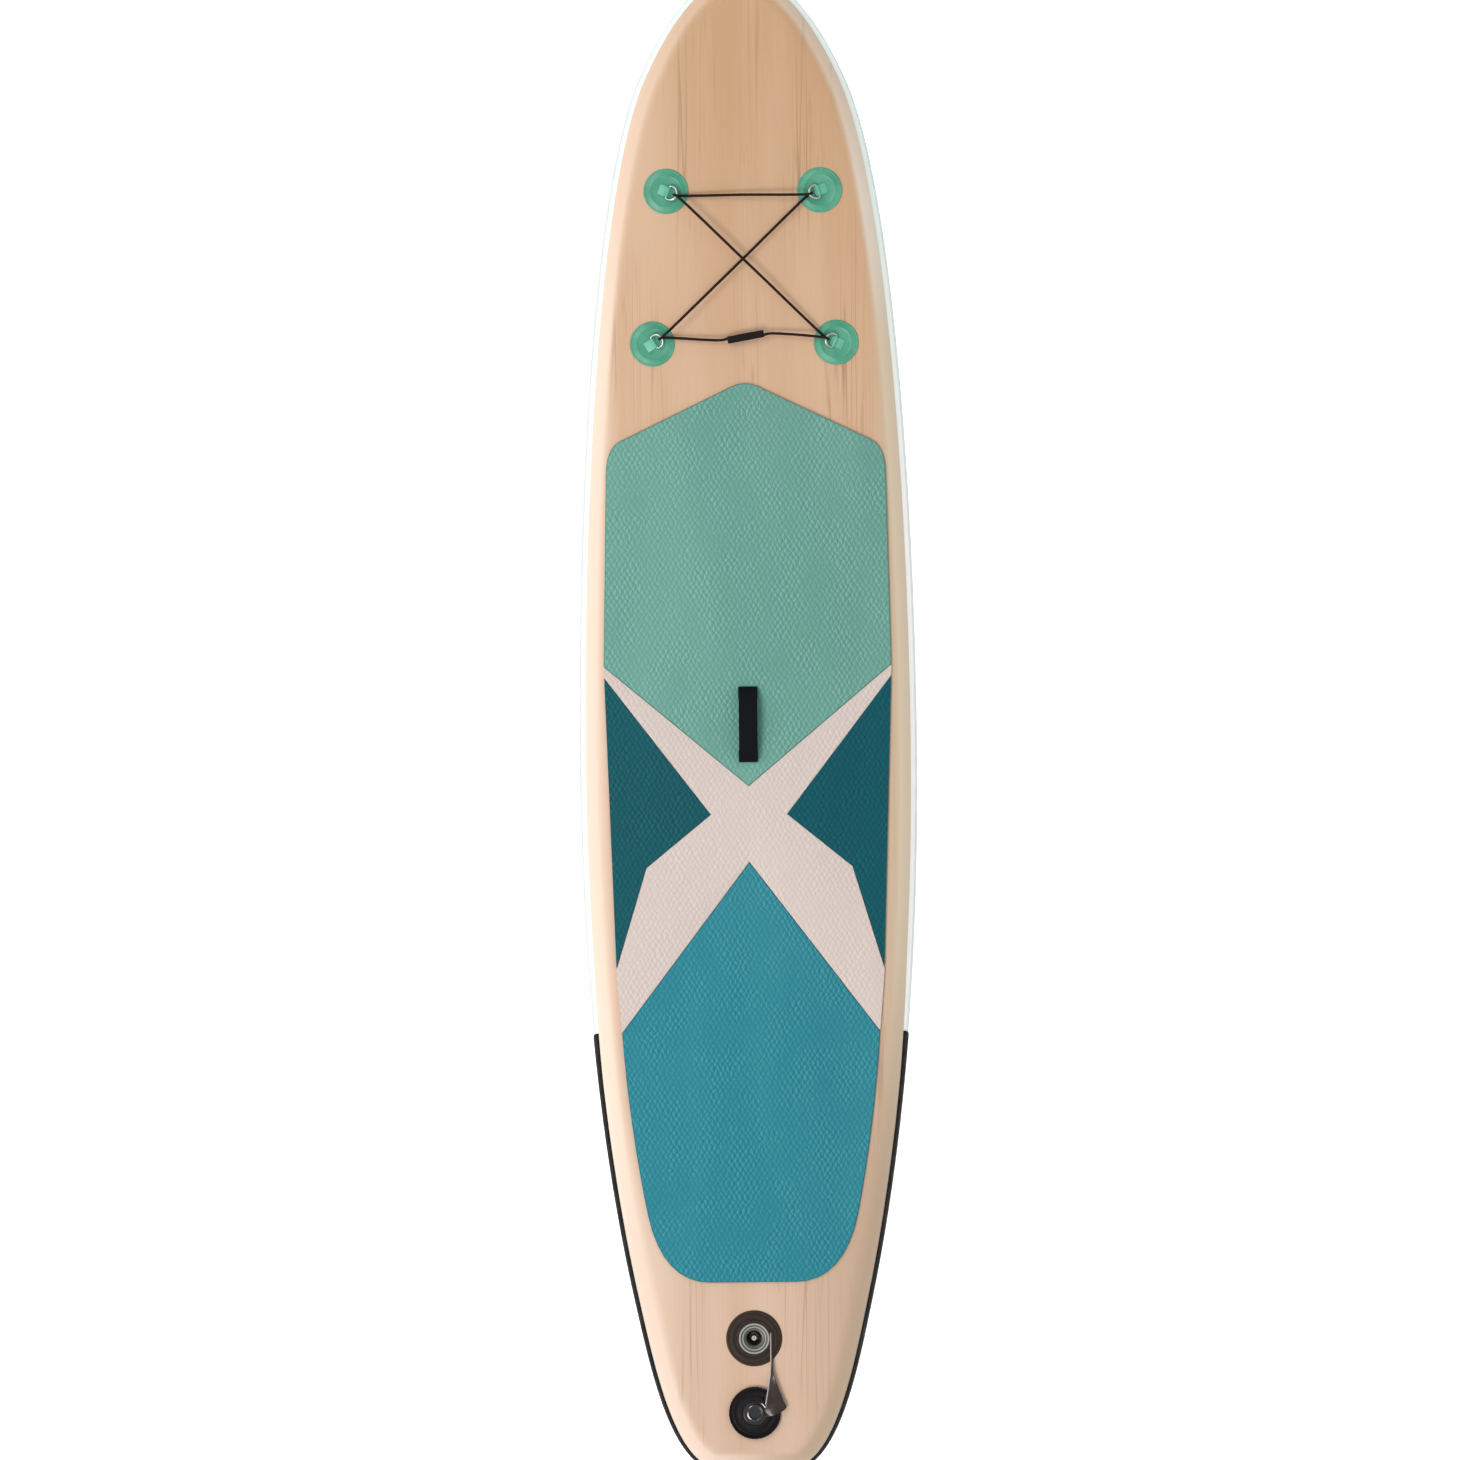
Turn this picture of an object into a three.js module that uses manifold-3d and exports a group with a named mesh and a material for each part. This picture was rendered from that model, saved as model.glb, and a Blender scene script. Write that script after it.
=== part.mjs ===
// An inflatable stand up paddleboard with its deck pad, bungee, valve and fins.
// Millimetres. +Z is up, +Y is towards the nose and +X is to the right of a rider who faces the nose.
// The origin is on the flat bottom at mid length.
import * as THREE from "three";
import { mergeVertices } from "three/addons/utils/BufferGeometryUtils.js";
import Module from "manifold-3d";

const wasm = await Module();
wasm.setup();

// Driving dimensions
const LENGTH = 3350;
const WIDTH = 760;
const THICKNESS = 150;
const RAIL_BULGE = 60; // how far the rounded rail stands out past the flat deck
const NOSE_LIFT = 110;
const NOSE_ROCKER_START = 420;
const TAIL_WIDTH = 162; // straight part of the square tail
const GAP = 0.3; // between pieces that touch

const SKIN = 1.2; // outer printed skins
const BASE_CLOTH = 1.2; // woven layer under them
const SKIN_EDGE = 46; // degrees round the rail where the bottom skin ends
const DECK_EDGE = 44; // and where the deck skin ends
const TAIL_DECK_EDGE = 36; // its edge comes lower beside the tail guard
const BASE_EDGE = 32; // and where the woven sheets end
const EDGE_GAP = 0.5; // degrees between two skins on the rail
const GUARD_FRONT = -690; // where the black tail guard starts
const GUARD_TIP = 70; // length of its rounded front ends
const GUARD_LOW_EDGE = -32;

const PAD_THICKNESS = 5;
const PAD_GROOVE = 3;
const HANDLE = { width: 41.5, halfLength: 82.5, thickness: 2.4 };
const SLOT = { width: 44, inner: 57, outer: 85 };

const ANCHORS = [
  { name: "front_left", x: -171, y: 1187, pull: -22 },
  { name: "front_right", x: 171, y: 1187, pull: 201 },
  { name: "rear_left", x: -205, y: 850, pull: 33 },
  { name: "rear_right", x: 205, y: 850, pull: 156 },
];
const ANCHOR_LIFT = 0.8; // the flat patch bridges the hollow of the nose rocker
const RING = { bar: 4, height: 6.5, side: 15, depth: 22, wire: 2.2, tilt: 22 };
const CORD = 3; // radius of the bungee
const HOOK = 5.8; // radius of the bungee's turn round a ring
const JOINER = { length: 82, width: 16.4, height: 8.6, x: 3, y: 863, turn: 10 };

const VALVE_Y = -1371;
const CAP_Y = -1537;
const CAP_TOP = 13.5; // outside of the closed cap above the deck
const VALVE_HOLE = 25;

const FIN_BOX_Y = -1290;
const SIDE_FIN = { x: 138, y: -1130, cant: 6 };

const deckZ = THICKNESS;
const halfLength = LENGTH / 2;
const halfWidth = WIDTH / 2;

const board = new THREE.Group();

// --- Helpers -------------------------------------------------------------------------------

function radians(degrees) {
  return (degrees * Math.PI) / 180;
}

function vec(x, y, z) {
  return new THREE.Vector3(x, y, z);
}

// Turns the faces outwards and drops those with no area.
function closedGeometry(points, faces) {
  const raw = new THREE.BufferGeometry().setFromPoints(points);
  raw.setIndex(faces.flat());
  const merged = mergeVertices(raw, 1e-4);
  const position = merged.getAttribute("position");
  const corners = [0, 1, 2].map(() => vec());
  const kept = [];
  let volume = 0;
  for (let i = 0; i < merged.index.count; i += 3) {
    const face = [0, 1, 2].map((k) => merged.index.getX(i + k));
    if (new Set(face).size < 3) continue;
    face.forEach((v, k) => corners[k].fromBufferAttribute(position, v));
    volume += corners[0].dot(corners[1].clone().cross(corners[2]));
    kept.push(face);
  }
  merged.setIndex((volume < 0 ? kept.map((f) => f.toReversed()) : kept).flat());
  return merged;
}

// A closed skin over loops of points, with the first and last loops filled in.
function loft(loops, { closed = false, capped = true } = {}) {
  const size = loops[0].length;
  const faces = [];
  const quad = (a, b, c, d) => faces.push([a, b, c], [a, c, d]);
  const last = (loops.length - 1) * size;
  const spans = closed ? loops.length : loops.length - 1;
  for (let i = 0; i < spans; i++) {
    const from = i * size;
    const to = ((i + 1) % loops.length) * size;
    for (let j = 0; j < size; j++) {
      const k = (j + 1) % size;
      quad(from + j, from + k, to + k, to + j);
    }
  }
  for (let j = 0; capped && !closed && j < size / 2 - 1; j++) {
    quad(j, size - 1 - j, size - 2 - j, j + 1);
    quad(last + j, last + j + 1, last + size - 2 - j, last + size - 1 - j);
  }
  return closedGeometry(loops.flat(), faces);
}

function lathe(profile, segments = 20) {
  const turned = new THREE.LatheGeometry(profile.map(([r, z]) => new THREE.Vector2(r, z)), segments);
  turned.rotateX(Math.PI / 2);
  const position = turned.getAttribute("position");
  const points = Array.from({ length: position.count }, (_, i) => vec().fromBufferAttribute(position, i));
  const index = Array.from(turned.index.array);
  const faces = [];
  for (let i = 0; i < index.length; i += 3) faces.push(index.slice(i, i + 3));
  return closedGeometry(points, faces);
}

// A profile that closes on itself, so that it turns into a ring.
function ring(profile, segments) {
  return lathe([...profile, profile[0]], segments);
}

function box(width, length, height, x = 0, y = 0, z = 0) {
  return new THREE.BoxGeometry(width, length, height).translate(x, y, z);
}

// A cylinder along Z.
function rod(radius, height, z = 0, segments = 20) {
  return new THREE.CylinderGeometry(radius, radius, height, segments).rotateX(Math.PI / 2).translate(0, 0, z);
}

function extrude(shape, depth, curveSegments = 8) {
  return new THREE.ExtrudeGeometry(shape, { depth, curveSegments, bevelEnabled: false });
}

function toSolid(geometry) {
  const plain = geometry.clone();
  plain.deleteAttribute("normal");
  plain.deleteAttribute("uv");
  const merged = mergeVertices(plain, 1e-4);
  const triVerts = new Uint32Array(merged.index.array);
  const vertProperties = merged.getAttribute("position").array;
  return new wasm.Manifold(new wasm.Mesh({ numProp: 3, vertProperties, triVerts }));
}

function toGeometry(solid) {
  const mesh = solid.getMesh();
  const geometry = new THREE.BufferGeometry();
  geometry.setAttribute("position", new THREE.BufferAttribute(mesh.vertProperties, 3));
  geometry.setIndex(new THREE.BufferAttribute(mesh.triVerts, 1));
  return geometry;
}

function join(...geometries) {
  return toGeometry(geometries.map(toSolid).reduce((whole, piece) => whole.add(piece)));
}

function cut(geometry, ...tools) {
  return toGeometry(tools.map(toSolid).reduce((left, tool) => left.subtract(tool), toSolid(geometry)));
}

function shared(geometry, other) {
  return toGeometry(toSolid(geometry).intersect(toSolid(other)));
}

function material(color, roughness, metalness = 0) {
  return new THREE.MeshStandardMaterial({ color, roughness, metalness, flatShading: true });
}

function add(parent, name, geometry, look) {
  const mesh = new THREE.Mesh(geometry, look);
  mesh.name = name;
  parent.add(mesh);
  return mesh;
}

// An obround with its long axis along Y, drawn on the XY plane.
function obround(width, length) {
  const shape = new THREE.Shape();
  const r = width / 2;
  const straight = length / 2 - r;
  shape.absarc(0, straight, r, 0, Math.PI);
  shape.absarc(0, -straight, r, Math.PI, 2 * Math.PI);
  return shape;
}

// --- Hull ----------------------------------------------------------------------------------

// Height of the bottom above the ground line.
function rocker(y) {
  const along = Math.max(0, (y - NOSE_ROCKER_START) / (halfLength - NOSE_ROCKER_START));
  return NOSE_LIFT * along ** 2;
}

function rockerSlope(y) {
  return (2 * Math.sqrt(NOSE_LIFT * rocker(y))) / (halfLength - NOSE_ROCKER_START);
}

// The right half of the plan outline, from the nose tip round to the middle of the tail.
function halfOutline() {
  const outline = new THREE.Path();
  outline.moveTo(0, halfLength);
  outline.bezierCurveTo(112, halfLength, 194, 1523, 233, 1436);
  outline.bezierCurveTo(346, 1178, halfWidth, 424, halfWidth, -60);
  outline.bezierCurveTo(halfWidth, -571, 334, -979, 267, -1288);
  outline.bezierCurveTo(233, -1444, 188, -halfLength, TAIL_WIDTH / 2, -halfLength);
  outline.lineTo(0, -halfLength);
  return outline;
}

// Points along the outline, each with its outward direction.
function outlineStations() {
  const spans = [7, 10, 6, 8, 1];
  const stations = [];
  halfOutline().curves.forEach((curve, c) => {
    for (let k = c === 0 ? 0 : 1; k <= spans[c]; k++) {
      const at = curve.getPoint(k / spans[c]);
      const along = curve.getTangent(k / spans[c]);
      stations.push({ x: at.x, y: at.y, outX: -along.y, outY: along.x });
    }
  });
  return stations;
}

const stations = outlineStations();

// A station between two of the others, on the straight facet that joins them.
function stationAt(y) {
  const next = stations.findIndex((s) => s.y < y);
  const [a, b] = [stations[next - 1], stations[next]];
  const mix = (key) => THREE.MathUtils.mapLinear(y, a.y, b.y, a[key], b[key]);
  return { x: mix("x"), y, outX: mix("outX"), outY: mix("outY") };
}

// A point on the hull's surface at an angle round the rail: 0 is the widest, 90 is where the flat
// deck begins and -90 is where the flat bottom begins. offset is outwards from the outer skin.
function hullPoint(station, degrees, offset, side = 1, seam = 0) {
  const angle = radians(degrees);
  const out = (RAIL_BULGE + offset) * Math.cos(angle) - RAIL_BULGE;
  const x = Math.max(station.x + station.outX * out, seam);
  const y = station.y + station.outY * out;
  const z = THICKNESS / 2 + (THICKNESS / 2 + offset) * Math.sin(angle);
  return vec(side * x, y, z + rocker(y));
}

// Degrees round the rail where the deck skin ends.
function deckEdge(y) {
  return THREE.MathUtils.lerp(DECK_EDGE, TAIL_DECK_EDGE, THREE.MathUtils.smoothstep(-y, 450, 850));
}

// A skin that runs from rail to rail over the deck (up = 1) or the bottom (up = -1).
function acrossSkin(anglesAt, inner, outer, up) {
  const loops = stations.map((s) => {
    const edge = (offset, side) => anglesAt(s.y).map((a) => hullPoint(s, up * a, offset, side));
    const over = (offset) => [...edge(offset, 1), ...edge(offset, -1).toReversed()];
    return [...over(outer), ...over(inner).toReversed()];
  });
  return loft(loops, { capped: false });
}

// A band round one side of the rail, from the nose seam to the tail seam.
function railBand(anglesAt, inner, outer, side) {
  const loops = stations.map((s) => {
    const line = (offset) => anglesAt(s.y).map((a) => hullPoint(s, a, offset, side, GAP / 2));
    return [...line(outer), ...line(inner).toReversed()];
  });
  return loft(loops);
}

function valveHole() {
  return rod(VALVE_HOLE, 40).translate(0, VALVE_Y, deckZ);
}

function addHull() {
  const wovenCloth = material(0xe9e6dc, 0.8);
  const deckPrint = material(0xd0ab88, 0.45);
  const bottomSkin = material(0xf4f4ef, 0.4);
  const railSkin = material(0xf9f9f5, 0.4);
  const baseOuter = -SKIN - GAP;
  const baseInner = baseOuter - BASE_CLOTH;
  const sheet = () => [BASE_EDGE + EDGE_GAP, SKIN_EDGE, 68, 90];
  const wall = () => [-BASE_EDGE + EDGE_GAP, -16, 0, 16, BASE_EDGE - EDGE_GAP];
  const band = (y) => [-SKIN_EDGE + EDGE_GAP, -BASE_EDGE, -16, 0, 16, BASE_EDGE, deckEdge(y) - EDGE_GAP];
  const topSheet = acrossSkin(sheet, baseInner, baseOuter, 1);
  const deckSkin = acrossSkin((y) => [deckEdge(y), SKIN_EDGE, 68, 90], -SKIN, 0, 1);
  add(board, "top_drop_stitch_sheet", cut(topSheet, valveHole()), wovenCloth);
  add(board, "bottom_drop_stitch_sheet", acrossSkin(sheet, baseInner, baseOuter, -1), wovenCloth);
  add(board, "left_side_wall", railBand(wall, baseInner, baseOuter, -1), wovenCloth);
  add(board, "right_side_wall", railBand(wall, baseInner, baseOuter, 1), wovenCloth);
  add(board, "deck_skin", cut(deckSkin, valveHole()), deckPrint);
  add(board, "hull_skin", acrossSkin(() => [SKIN_EDGE, 68, 90], -SKIN, 0, -1), bottomSkin);
  add(board, "left_rail_band", railBand(band, -SKIN, 0, -1), railSkin);
  add(board, "right_rail_band", railBand(band, -SKIN, 0, 1), railSkin);
  add(board, "tail_rail_guard", tailGuard(), material(0x121314, 0.45));
}

// Each front end of the guard is a quarter of an ellipse, with its tip beside the deck skin. These
// give the angle of its lower edge at a place along the board, and the place for an angle.
const guardTipAngle = deckEdge(GUARD_FRONT) - EDGE_GAP;

function guardLowEdge(y) {
  const ahead = 1 - Math.min((GUARD_FRONT - y) / GUARD_TIP, 1);
  return THREE.MathUtils.lerp(guardTipAngle, GUARD_LOW_EDGE, Math.sqrt(1 - ahead ** 2));
}

function guardLowEdgeAt(degrees) {
  const share = (guardTipAngle - degrees) / (guardTipAngle - GUARD_LOW_EDGE);
  return GUARD_FRONT - GUARD_TIP * (1 - Math.sqrt(1 - share ** 2));
}

// A black strip glued over the rail band, round the tail from one side to the other.
function tailGuard() {
  const folds = [BASE_EDGE, 16, 0, -16, GUARD_LOW_EDGE]; // the rail band's facets meet at these
  const tip = folds.map((degrees) => stationAt(guardLowEdgeAt(degrees)));
  const behind = stations.filter((s) => s.y < tip[0].y);
  const rear = [...tip, ...behind].toSorted((a, b) => b.y - a.y || b.x - a.x);
  const round = [
    ...rear.map((station) => ({ station, side: 1 })),
    ...rear.slice(0, -1).toReversed().map((station) => ({ station, side: -1 })),
  ];
  const loops = round.map(({ station, side }) => {
    const low = guardLowEdge(station.y);
    const angles = folds.toReversed().map((degrees) => Math.max(degrees, low));
    angles.push(deckEdge(station.y) - EDGE_GAP);
    const line = (offset) => angles.map((a) => hullPoint(station, a, offset, side));
    return [...line(GAP + SKIN), ...line(GAP).toReversed()];
  });
  return loft(loops);
}

// Rows of yarn tie the top sheet to the bottom one: walls across the board on two walls along it.
function addYarnRows() {
  const clear = SKIN + BASE_CLOTH + 2 * GAP + 0.4;
  const pitch = 165;
  const thick = 1.2;
  const spineX = 90;
  const low = (y) => rocker(y) + clear;
  const high = (y) => rocker(y) + THICKNESS - clear;
  const deckEdges = stations.map((s) => hullPoint(s, 90, 0)).filter((p) => p.x > spineX + 10);
  const spine = (x) => {
    const section = ({ y }) => [
      vec(x - thick / 2, y, low(y)),
      vec(x + thick / 2, y, low(y)),
      vec(x + thick / 2, y, high(y)),
      vec(x - thick / 2, y, high(y)),
    ];
    return loft(deckEdges.map(section));
  };
  const halfWidthAt = (y) => {
    const next = deckEdges.findIndex((p) => p.y < y);
    const [a, b] = [deckEdges[next - 1], deckEdges[next]];
    return THREE.MathUtils.mapLinear(y, a.y, b.y, a.x, b.x) - 8;
  };
  const pieces = [spine(-spineX), spine(spineX)];
  for (let y = -1500; y < 1450; y += pitch) {
    const height = high(y) - low(y) - 0.4;
    pieces.push(box(2 * halfWidthAt(y), thick, height, 0, y, (low(y) + high(y)) / 2));
  }
  const room = rod(60, THICKNESS * 2).translate(0, VALVE_Y, deckZ);
  add(board, "drop_stitch_yarn_rows", cut(join(...pieces), room), material(0xf2f0e6, 0.9));
}

// --- Deck pad ------------------------------------------------------------------------------

const PAD_CORNERS = {
  frontNotch: [0, -138],
  frontSide: [340, 147],
  upperSide: [340, 132],
  waist: [85, -201],
  elbow: [230, -319],
  lowerSide: [340, -681],
  rearSide: [340, -755],
  rearNotch: [0, -307],
};

function mirrorX([x, y]) {
  return [-x, y];
}

// The right half of the pad's outline, from its peak to its rear edge.
function padHalf() {
  const half = new THREE.Path();
  half.moveTo(0, 759);
  half.quadraticCurveTo(18, 759, 40, 747);
  half.lineTo(280, 632);
  half.quadraticCurveTo(311, 617, 311, 557);
  half.lineTo(320, 130);
  half.lineTo(299, -546);
  half.lineTo(287, -685);
  half.quadraticCurveTo(272, -900, 233, -1095);
  half.bezierCurveTo(212, -1195, 165, -1244, 96, -1244);
  half.lineTo(0, -1244);
  return half.getPoints(8);
}

function padSolid() {
  const right = padHalf();
  const left = right.slice(1, -1).toReversed().map((p) => new THREE.Vector2(-p.x, p.y));
  const prism = extrude(new THREE.Shape([...right, ...left]), 2 * THICKNESS);
  const rows = stations.map((s) => hullPoint(s, 90, 0).y).filter((y) => y > -1400 && y < 1100);
  const slabLoop = (y) => {
    const bottom = rocker(y) + deckZ + GAP;
    const corner = (x, z) => vec(x, y, z);
    return [
      corner(-halfWidth, bottom),
      corner(halfWidth, bottom),
      corner(halfWidth, bottom + PAD_THICKNESS),
      corner(-halfWidth, bottom + PAD_THICKNESS),
    ];
  };
  return shared(prism, loft(rows.map(slabLoop)));
}

function prismOf(points) {
  return extrude(new THREE.Shape(points.map(([x, y]) => new THREE.Vector2(x, y))), 2 * THICKNESS);
}

// A groove between two panels, from corner to corner.
function groove([ax, ay], [bx, by]) {
  const long = Math.hypot(bx - ax, by - ay) + PAD_GROOVE;
  const cutter = box(PAD_GROOVE, long, 2 * THICKNESS);
  cutter.rotateZ(Math.atan2(by - ay, bx - ax) - Math.PI / 2);
  return cutter.translate((ax + bx) / 2, (ay + by) / 2, deckZ);
}

function handleSlots() {
  const length = SLOT.outer - SLOT.inner;
  const middle = (SLOT.outer + SLOT.inner) / 2;
  return [-1, 1].map((end) => box(SLOT.width, length, 60, 0, end * middle, deckZ));
}

function addPad() {
  const c = PAD_CORNERS;
  const sidePanel = [c.upperSide, c.waist, c.elbow, c.lowerSide];
  const frontPanel = [c.frontNotch, c.frontSide, [340, 900], [-340, 900], mirrorX(c.frontSide)];
  const rearPanel = [c.rearNotch, mirrorX(c.rearSide), [-340, -1300], [340, -1300], c.rearSide];
  const rightArm = [c.frontSide, c.upperSide, c.waist, c.elbow, c.lowerSide, c.rearSide];
  const cross = [c.frontNotch, ...rightArm, c.rearNotch, ...rightArm.toReversed().map(mirrorX)];
  const borders = [
    [c.frontNotch, c.frontSide],
    [c.upperSide, c.waist],
    [c.waist, c.elbow],
    [c.elbow, c.lowerSide],
    [c.rearNotch, c.rearSide],
  ];
  const grooves = borders.flatMap(([a, b]) => [groove(a, b), groove(mirrorX(a), mirrorX(b))]);
  const pad = cut(padSolid(), ...grooves, ...handleSlots());
  const panel = (points) => shared(pad, prismOf(points));
  add(board, "pad_front_panel", panel(frontPanel), material(0x6fa799, 0.85));
  add(board, "pad_left_panel", panel(sidePanel.map(mirrorX)), material(0x205e64, 0.85));
  add(board, "pad_right_panel", panel(sidePanel), material(0x175962, 0.85));
  add(board, "pad_cross_panel", panel(cross), material(0xdbcdc6, 0.85));
  add(board, "pad_rear_panel", panel(rearPanel), material(0x388997, 0.85));
}

// --- Carry handle --------------------------------------------------------------------------

// A strap along a curve in the YZ plane, with its width along X.
function strap(curve, width, thickness, steps) {
  const loops = [];
  for (let i = 0; i <= steps; i++) {
    const at = curve.getPointAt(i / steps);
    const along = curve.getTangentAt(i / steps);
    const up = vec(0, -along.z, along.y).multiplyScalar(thickness / 2);
    const corner = (side, way) => vec((side * width) / 2, at.y, at.z).addScaledVector(up, way);
    loops.push([corner(-1, -1), corner(1, -1), corner(1, 1), corner(-1, 1)]);
  }
  return loft(loops);
}

// The webbing's feet are glued to the deck in two slots in the pad, and turn back under the bow.
function addHandle() {
  const foot = deckZ + 2.6;
  const half = [
    [60, foot],
    [72, foot],
    [79, foot + 1.6],
    [81.2, foot + 6],
    [78, foot + 12.5],
    [66, foot + 20],
    [45, foot + 26.5],
    [20, foot + 29.8],
  ];
  const points = [
    ...half.map(([y, z]) => vec(0, -y, z)),
    vec(0, 0, foot + 30.3),
    ...half.toReversed().map(([y, z]) => vec(0, y, z)),
  ];
  const curve = new THREE.CatmullRomCurve3(points, false, "centripetal");
  add(board, "carry_handle", strap(curve, HANDLE.width, HANDLE.thickness, 44), material(0x0a1013, 0.7));
  const patchLength = SLOT.outer - SLOT.inner - 2;
  const middle = (SLOT.outer + SLOT.inner) / 2;
  for (const [name, end] of [["front", 1], ["rear", -1]]) {
    const patch = box(SLOT.width - 2, patchLength, 0.7, 0, end * middle, deckZ + GAP + 0.35);
    add(board, `handle_${name}_anchor`, patch, material(0x2c3032, 0.6));
  }
}

// --- Ring patches and bungee -----------------------------------------------------------------

// Each anchor's own frame: X is the way the bungee pulls, Z is straight up from the deck.
function anchorGroup(anchor) {
  const group = new THREE.Group();
  group.position.set(anchor.x, anchor.y, deckZ + rocker(anchor.y) + ANCHOR_LIFT);
  group.rotation.set(Math.atan(rockerSlope(anchor.y)), 0, radians(anchor.pull));
  group.updateMatrixWorld(true);
  board.add(group);
  return group;
}

function patchGeometry() {
  const profile = [
    [0, 0],
    [50, 0],
    [50, 0.9],
    [48, 1.8],
    [38, 2],
    [36.5, 3.2],
    [33.5, 3.2],
    [32, 2.2],
    [0, 2.2],
  ];
  return lathe(profile, 18);
}

// The tab that is welded to the patch and holds the ring's straight bar.
function ringTabGeometry() {
  const width = 23;
  const base = 2.5;
  const hole = RING.wire + 0.4;
  const bump = hole + 1.3;
  const tab = new THREE.Shape();
  tab.moveTo(-17, base);
  tab.lineTo(12, base);
  tab.lineTo(12, base + 1.4);
  tab.absarc(RING.bar, RING.height, bump, radians(-15), radians(195), false);
  tab.lineTo(-17, base + 1.4);
  tab.holes.push(new THREE.Path().absarc(RING.bar, RING.height, hole, 0, 2 * Math.PI, true));
  return extrude(tab, width, 6).translate(0, 0, -width / 2).rotateX(Math.PI / 2);
}

// A D ring: a straight bar and a round bow, tilted up by the bungee that passes under it.
function ringGeometry() {
  const { side, depth, wire, bar, height, tilt } = RING;
  const bow = depth - side;
  const line = [
    [0, -side + 4],
    [0, side - 4],
    [1.2, side - 1.2],
    [4, side],
  ];
  for (let k = 0; k <= 8; k++) {
    const angle = radians(90 - 22.5 * k);
    line.push([bow + side * Math.cos(angle), side * Math.sin(angle)]);
  }
  line.push([4, -side], [1.2, -side + 1.2]);
  const slant = vec(Math.cos(radians(tilt)), 0, Math.sin(radians(tilt)));
  const across = vec(0, 1, 0);
  const upright = slant.clone().cross(across);
  const start = vec(bar, 0, height);
  const points = line.map(([e, v]) => start.clone().addScaledVector(slant, e).addScaledVector(across, v));
  const loops = points.map((at, i) => {
    const along = points[(i + 1) % points.length].clone().sub(points.at(i - 1)).normalize();
    return circle(at, along.clone().cross(upright).normalize(), upright, wire, 6);
  });
  return loft(loops, { closed: true });
}

function circle(at, a, b, radius, sides) {
  return Array.from({ length: sides }, (_, k) => {
    const angle = (2 * Math.PI * k) / sides;
    const point = at.clone().addScaledVector(a, radius * Math.cos(angle));
    return point.addScaledVector(b, radius * Math.sin(angle));
  });
}

function addAnchors() {
  const mint = 0x5fb192;
  return ANCHORS.map((anchor) => {
    const group = anchorGroup(anchor);
    add(group, `${anchor.name}_patch`, patchGeometry(), material(mint, 0.5));
    add(group, `${anchor.name}_ring_tab`, ringTabGeometry(), material(mint, 0.5));
    add(group, `${anchor.name}_d_ring`, ringGeometry(), material(0xc8ccd0, 0.25, 1));
    return group;
  });
}

// The bungee's turn round a ring's bow: in over the top and out underneath.
function hookPoints(group, wayIn) {
  const tip = RING.depth;
  const x = RING.bar + tip * Math.cos(radians(RING.tilt));
  const z = RING.height + tip * Math.sin(radians(RING.tilt));
  const turn = [90, 120, 150, 180, 210, 240, 270].map(radians);
  const points = turn.map((a) => vec(x + HOOK * Math.cos(a), 0, z + HOOK * Math.sin(a)));
  const placed = points.map((p) => group.localToWorld(p));
  return wayIn === "over" ? placed : placed.toReversed();
}

// A round cord through a list of points, with a loop of its own at each.
function cordThrough(points, radius, sides) {
  let across = vec(0, 0, 1);
  const loops = points.map((at, i) => {
    const before = points[Math.max(i - 1, 0)];
    const after = points[Math.min(i + 1, points.length - 1)];
    const along = after.clone().sub(before).normalize();
    across = across.clone().addScaledVector(along, -across.dot(along)).normalize();
    return circle(at, across, along.clone().cross(across), radius, sides);
  });
  return loft(loops);
}

function joinerPlace() {
  const place = new THREE.Object3D();
  place.position.set(JOINER.x, JOINER.y, deckZ + rocker(JOINER.y) + 15);
  place.rotation.set(0, 0, radians(JOINER.turn));
  place.updateMatrixWorld(true);
  return place;
}

// The bungee is one cord. It starts and ends side by side in the joiner, and goes from ring to ring:
// rear right, front left, front right, rear left. The diagonals pass over and under each other.
function addBungee([frontLeft, frontRight, rearLeft, rearRight]) {
  const place = joinerPlace();
  const lane = CORD + 0.2;
  const end = JOINER.length / 2;
  const inJoiner = (x, y) => place.localToWorld(vec(x, y, 0));
  const between = (a, b, lift) => a.clone().lerp(b, 0.5).add(vec(0, 0, lift));
  const hooks = [rearRight, frontLeft, frontRight, rearLeft].map((g) => hookPoints(g, "over"));
  const [atRearRight, atFrontLeft, atFrontRight, atRearLeft] = hooks;
  const cross = CORD + 0.3;
  const route = [
    inJoiner(-end, -lane),
    inJoiner(end, -lane),
    inJoiner(end + 14, -lane + 0.5),
    ...atRearRight,
    between(atRearRight.at(-1), atFrontLeft[0], cross),
    ...atFrontLeft,
    between(atFrontLeft.at(-1), atFrontRight[0], 0),
    ...atFrontRight,
    between(atFrontRight.at(-1), atRearLeft[0], -cross),
    ...atRearLeft,
    inJoiner(-end - 14, lane - 0.5),
    inJoiner(-end, lane),
    inJoiner(end, lane),
  ];
  add(board, "bungee_cord", cordThrough(route, CORD, 8), material(0x1b1413, 0.8));
  const sleeve = box(JOINER.length, JOINER.width, JOINER.height);
  const bore = box(JOINER.length + 10, 4 * lane - 2 * (lane - CORD) + 0.4, 2 * CORD + 0.6);
  const joiner = add(board, "bungee_joiner", cut(sleeve, bore), material(0x0d0d0e, 0.6));
  joiner.position.copy(place.position);
  joiner.rotation.copy(place.rotation);
}

// --- Valve ---------------------------------------------------------------------------------

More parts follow.
